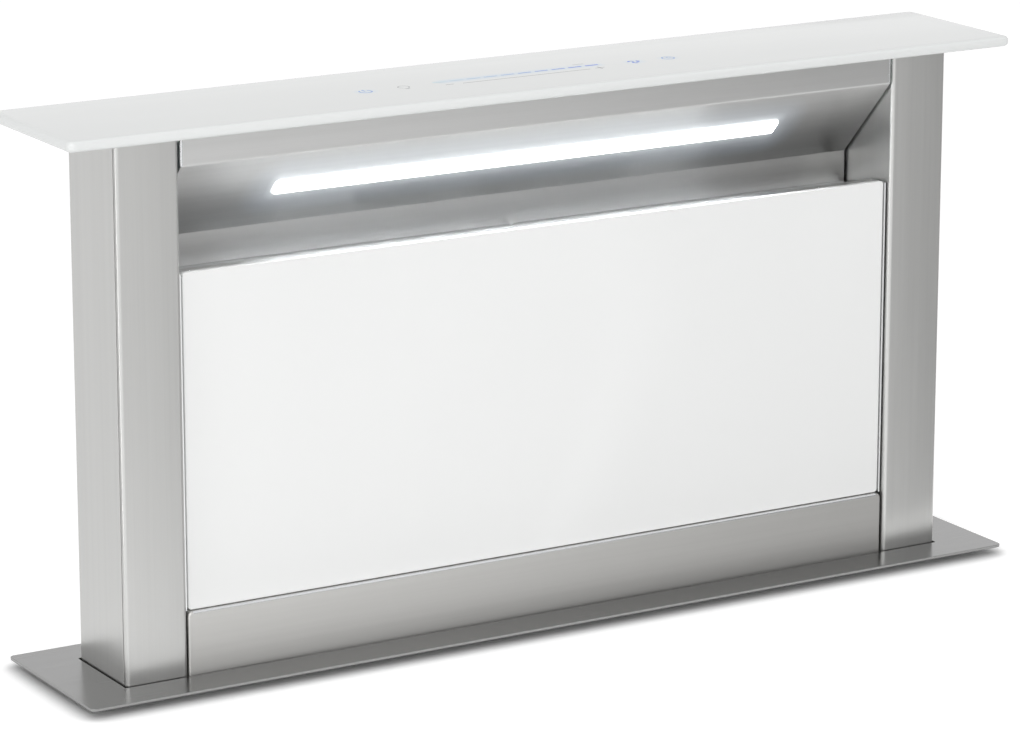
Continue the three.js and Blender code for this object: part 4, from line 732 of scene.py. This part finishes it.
blue_ink = ink("blue_print", (0.05, 0.16, 0.80))
grey_ink = ink("grey_print", (0.36, 0.37, 0.38))
pale_ink = ink("pale_blue_print", (0.25, 0.40, 0.80))
stroke = 1.0
key_y = -3.0
power_x, bulb_x, fan_x, clock_x = -102.5, -78.5, 69.5, 92.0
power = [
    ribbon(arc(power_x, key_y, 3.5, 130, 410), stroke),
    ribbon([(power_x, key_y + 0.6), (power_x, key_y + 4.6)], stroke),
]
bulb = [
    ribbon(arc(bulb_x, key_y + 0.8, 3.2, -60, 240), 0.6),
    ribbon([(bulb_x - 1.6, key_y - 3.2), (bulb_x + 1.6, key_y - 3.2)], 0.6),
    ribbon([(bulb_x - 1.2, key_y - 4.4), (bulb_x + 1.2, key_y - 4.4)], 0.6),
]
fan_turns = [math.radians(30 + 120 * k) for k in range(3)]
fan = [
    ribbon(arc(fan_x + 1.7 * math.cos(a), key_y + 1.7 * math.sin(a), 1.7, math.degrees(a) - 150,
               math.degrees(a) + 30), 1.3)
    for a in fan_turns
]
clock = [
    ribbon(arc(clock_x, key_y, 3.6, 0, 360), 0.8),
    ribbon([(clock_x, key_y + 2.4), (clock_x, key_y), (clock_x + 2.0, key_y)], 0.7),
]
minus = [ribbon([(-55.5, -8.5), (-50.5, -8.5)], 0.8)]
plus = [ribbon([(40.5, -8.5), (46.5, -8.5)], 0.8), ribbon([(43.5, -11.5), (43.5, -5.5)], 0.8)]
guide = [ribbon([(-45, -9.0), (37, -9.0)], 0.8)]
boost = [ribbon([(34.5, 6.2), (41.5, 6.2)], 0.7)]
piece("blue_key_marks", together(fan), blue_ink, "tower")
piece("grey_key_marks", together(bulb + minus + plus + guide + boost), grey_ink, "tower")
piece("pale_key_marks", together(power + clock), pale_ink, "tower")
dashes, first_dash, dash_pitch, dash_length, dash_width, slider_y = 10, -59.0, 10.9, 8.4, 1.9, 0.2
slider_middle, slider_half = -3.5, 49.5
pale_end, blue_end = (0.58, 0.76, 0.82), (0.05, 0.14, 0.78)
for i in range(dashes):
    share = i / (dashes - 1)
    tone = tuple(a + (b - a) * share for a, b in zip(pale_end, blue_end))
    x = first_dash + i * dash_pitch
    mark = ribbon([(x, slider_y), (x + dash_length, slider_y)], dash_width)
    piece(f"slider_dash_{i + 1:02d}", mark, ink(f"slider_print_{i + 1:02d}", tone), "tower")

# Painted glow: the cap glass's colour is mixed towards pale blue near three keys and the slider.
cap_tree = cap_white.node_tree
cap_surface = cap_tree.nodes["Principled BSDF"]
plain_white = cap_surface.inputs["Base Color"].links[0].from_socket
glow = None
for x, y, half_length, reach, strength in (
    (power_x, key_y, 1, 8.0, 0.8), (fan_x, key_y, 1, 8.0, 0.8), (clock_x, key_y, 1, 8.0, 0.6),
    (slider_middle, slider_y, slider_half, 7.0, 0.9),
):
    away = off_bar(cap_tree, Vector((x, y, 0)), Vector((0, 1, 0)), half_length, 0)
    fade = node(cap_tree, "MapRange", {"interpolation_type": "SMOOTHSTEP"}, Value=away,
                From_Max=reach * 0.001, To_Min=strength, To_Max=0.0).outputs["Result"]
    glow = fade if glow is None else reckon(cap_tree, "Math", "MAXIMUM", glow, fade)
painted_glow_tint = node(cap_tree, "Mix", {"data_type": "RGBA"})
cap_tree.links.new(glow, painted_glow_tint.inputs[0])
cap_tree.links.new(plain_white, painted_glow_tint.inputs[6])
painted_glow_tint.inputs[7].default_value = (0.62, 0.76, 0.90, 1.0)
cap_tree.links.new(painted_glow_tint.outputs[2], cap_surface.inputs["Base Color"])

# ---------------------------------------------------------------------------------------------
# The setting: a piece of white worktop with the cut-out that the vent drops into, and a pale floor
# at the height of the cabinet's floor. Both are white to the camera and keep the object's shadow.


def background_rays(tree):
    rays = node(tree, "LightPath").outputs
    seen = reckon(tree, "Math", "MAXIMUM", rays["Is Camera Ray"], rays["Is Glossy Ray"])
    return reckon(tree, "Math", "MAXIMUM", seen, rays["Is Transmission Ray"])


def white_ground(name, colour, lift, close_shade=0.0):
    material, tree, surface = shader(name, colour, 0.6)
    grains = node(tree, "TexNoise", Vector=in_metres(tree), Scale=40.0, Detail=3.0)
    dull = tuple(c * 0.995 for c in colour)
    vary(surface, "Base Color", grains.outputs["Fac"], (0.3, colour), (0.7, dull))
    amount = reckon(tree, "Math", "MULTIPLY", background_rays(tree), lift)
    if close_shade:
        open_sky = node(tree, "AmbientOcclusion", {"samples": 16}, Distance=close_shade)
        vary(surface, "Emission Color", open_sky.outputs["AO"],
             (0.35, 0.0), (0.75, 0.25), (0.92, 0.8), (1.0, 1.0))
    else:
        surface.inputs["Emission Color"].default_value = (1, 1, 1, 1)
    tree.links.new(amount, surface.inputs["Emission Strength"])
    return material


def rectangle(xs, ys):
    return [Vector((xs[0], ys[0])), Vector((xs[1], ys[0])), Vector((xs[1], ys[1])), Vector((xs[0], ys[1]))]


slab_x, slab_y, slab_z = (-500, 500), (-98, 112), (-38, -4.5)
hole_x, hole_y = (-285, 285), (-40, 43)
front_foot, front_thickness = -100, 12
slab_rings = rectangle(slab_x, slab_y) + rectangle(hole_x, hole_y)
front_ring = rectangle(slab_x, (slab_y[0], slab_y[0] + front_thickness))
points = [Vector((p.x, p.y, z)) for z in slab_z for p in slab_rings]
points += [Vector((p.x, p.y, z)) for z in (front_foot, slab_z[0]) for p in front_ring]
faces = []
for i in range(4):
    j = (i + 1) % 4
    faces.append((8 + i, 8 + j, 12 + j, 12 + i))
    faces.append((i, 4 + i, 4 + j, j))
    faces.append((i, j, 8 + j, 8 + i))
    faces.append((4 + i, 12 + i, 12 + j, 4 + j))
    faces.append((16 + i, 16 + j, 20 + j, 20 + i))
faces.append((16, 19, 18, 17))
mesh = bpy.data.meshes.new("worktop_slab")
mesh.from_pydata([p * 0.001 for p in points], [], faces)
worktop_white = (0.88, 0.88, 0.88)
mesh.materials.append(white_ground("white_worktop", worktop_white, 0.44, 0.035))
mesh.materials.append(white_ground("white_worktop_front", worktop_white, 0.45))
mesh.materials.append(white_ground("grey_worktop_edge", (0.62, 0.62, 0.62), 0.0))
for face in mesh.polygons:
    if face.normal.z < 0.5:
        face.material_index = 1 if face.normal.y < -0.5 else 2
slab = bpy.data.objects.new("worktop_slab", mesh)
bpy.context.scene.collection.objects.link(slab)

floor_mesh = bpy.data.meshes.new("floor")
reach, floor_gap = 30.0, 0.0005
floor_z = cad_bounds[0][2] - floor_gap
floor_corners = rectangle((-reach, reach), (-reach, reach))
floor_mesh.from_pydata([(p.x, p.y, floor_z) for p in floor_corners], [], [(0, 1, 2, 3)])
floor_mesh.materials.append(white_ground("pale_floor", (0.86, 0.86, 0.86), 0.52))
floor = bpy.data.objects.new("floor", floor_mesh)
bpy.context.scene.collection.objects.link(floor)

# ---------------------------------------------------------------------------------------------
# Camera and light. A long lens from the left and a little above. Broad soft lights from the upper
# left and the front, weaker ones round them, three cards for the steel to reflect, a white surround.

scene = bpy.context.scene
camera_data = bpy.data.cameras.new("camera")
camera_data.lens = 158.445
camera_data.sensor_width = 36.0
camera_data.clip_end = 200.0
camera = bpy.data.objects.new("camera", camera_data)
camera.location = (-1.255974, -2.102505, 0.771265)
looking_down, turned_right = math.radians(14.565), math.radians(30.657)
camera.rotation_euler = (math.pi / 2 - looking_down, 0, -turned_right)
scene.collection.objects.link(camera)
scene.camera = camera


def soft_light(name, at, towards, size, watts):
    data = bpy.data.lights.new(name, "AREA")
    data.shape = "RECTANGLE"
    data.size, data.size_y = size
    data.energy = watts
    made = bpy.data.objects.new(name, data)
    made.location = at
    made.rotation_euler = (Vector(towards) - Vector(at)).to_track_quat("-Z", "Y").to_euler()
    scene.collection.objects.link(made)


soft_light("key_light", (-2.4, -2.2, 2.6), (0, 0, 0.1), (2.2, 2.2), 42)
soft_light("fill_light", (2.6, -2.4, 1.6), (0, 0, 0.0), (2.0, 2.0), 10)
soft_light("top_light", (0.2, 0.4, 3.2), (0, 0, 0), (2.4, 1.6), 9)
soft_light("front_light", (-0.45, -3.4, 0.9), (0, 0, 0.1), (2.0, 1.4), 25)
soft_light("edge_light", (-1.7, -0.25, -0.05), (-0.25, 0, 0.05), (0.3, 1.6), 4.5)


def reflected_card(name, start, end, low, high, tone, fade):
    span = Vector((end[0] - start[0], end[1] - start[1], 0))
    card_mesh = bpy.data.meshes.new(name)
    card_mesh.from_pydata([(0, 0, low), (span.length, 0, low), (span.length, 0, high), (0, 0, high)],
                          [], [(0, 1, 2, 3)])
    material = bpy.data.materials.new(name)
    material.use_nodes = True
    tree = material.node_tree
    tree.nodes.remove(tree.nodes["Principled BSDF"])
    along = node(tree, "SeparateXYZ", Vector=in_metres(tree)).outputs["X"]
    share = node(tree, "MapRange", {"interpolation_type": "SMOOTHSTEP"}, Value=along, From_Max=fade)
    glow = node(tree, "Emission", Color=(tone, tone, tone, 1.0))
    mix = node(tree, "MixShader", Fac=share.outputs["Result"])
    tree.links.new(node(tree, "BsdfTransparent").outputs["BSDF"], mix.inputs[1])
    tree.links.new(glow.outputs["Emission"], mix.inputs[2])
    tree.links.new(mix.outputs["Shader"], tree.nodes["Material Output"].inputs["Surface"])
    card_mesh.materials.append(material)
    card = bpy.data.objects.new(name, card_mesh)
    card.location = (start[0], start[1], 0)
    card.rotation_euler = (0, 0, math.atan2(span.y, span.x))
    card.visible_camera = card.visible_diffuse = card.visible_shadow = card.visible_transmission = False
    scene.collection.objects.link(card)


reflected_card("pale_card", (-0.6, -3.2), (1.0, -1.78), -0.69, 1.4, 0.86, 0.16)
reflected_card("grey_card", (1.0, -1.78), (2.8, -0.2), -0.69, 1.4, 0.45, 0.16)
reflected_card("dark_card", (-1.42, 0.62), (-1.48, -0.02), -0.6, 0.7, 0.12, 0.03)

world = bpy.data.worlds.new("white_surround")
world.use_nodes = True
scene.world = world
tree = world.node_tree
background = tree.nodes["Background"]
background.inputs["Color"].default_value = (1, 1, 1, 1)
strength = node(tree, "MapRange", Value=background_rays(tree), To_Min=0.5, To_Max=1.0)
tree.links.new(strength.outputs["Result"], background.inputs["Strength"])

scene.view_settings.view_transform = "Standard"

bpy.context.view_layer.update()
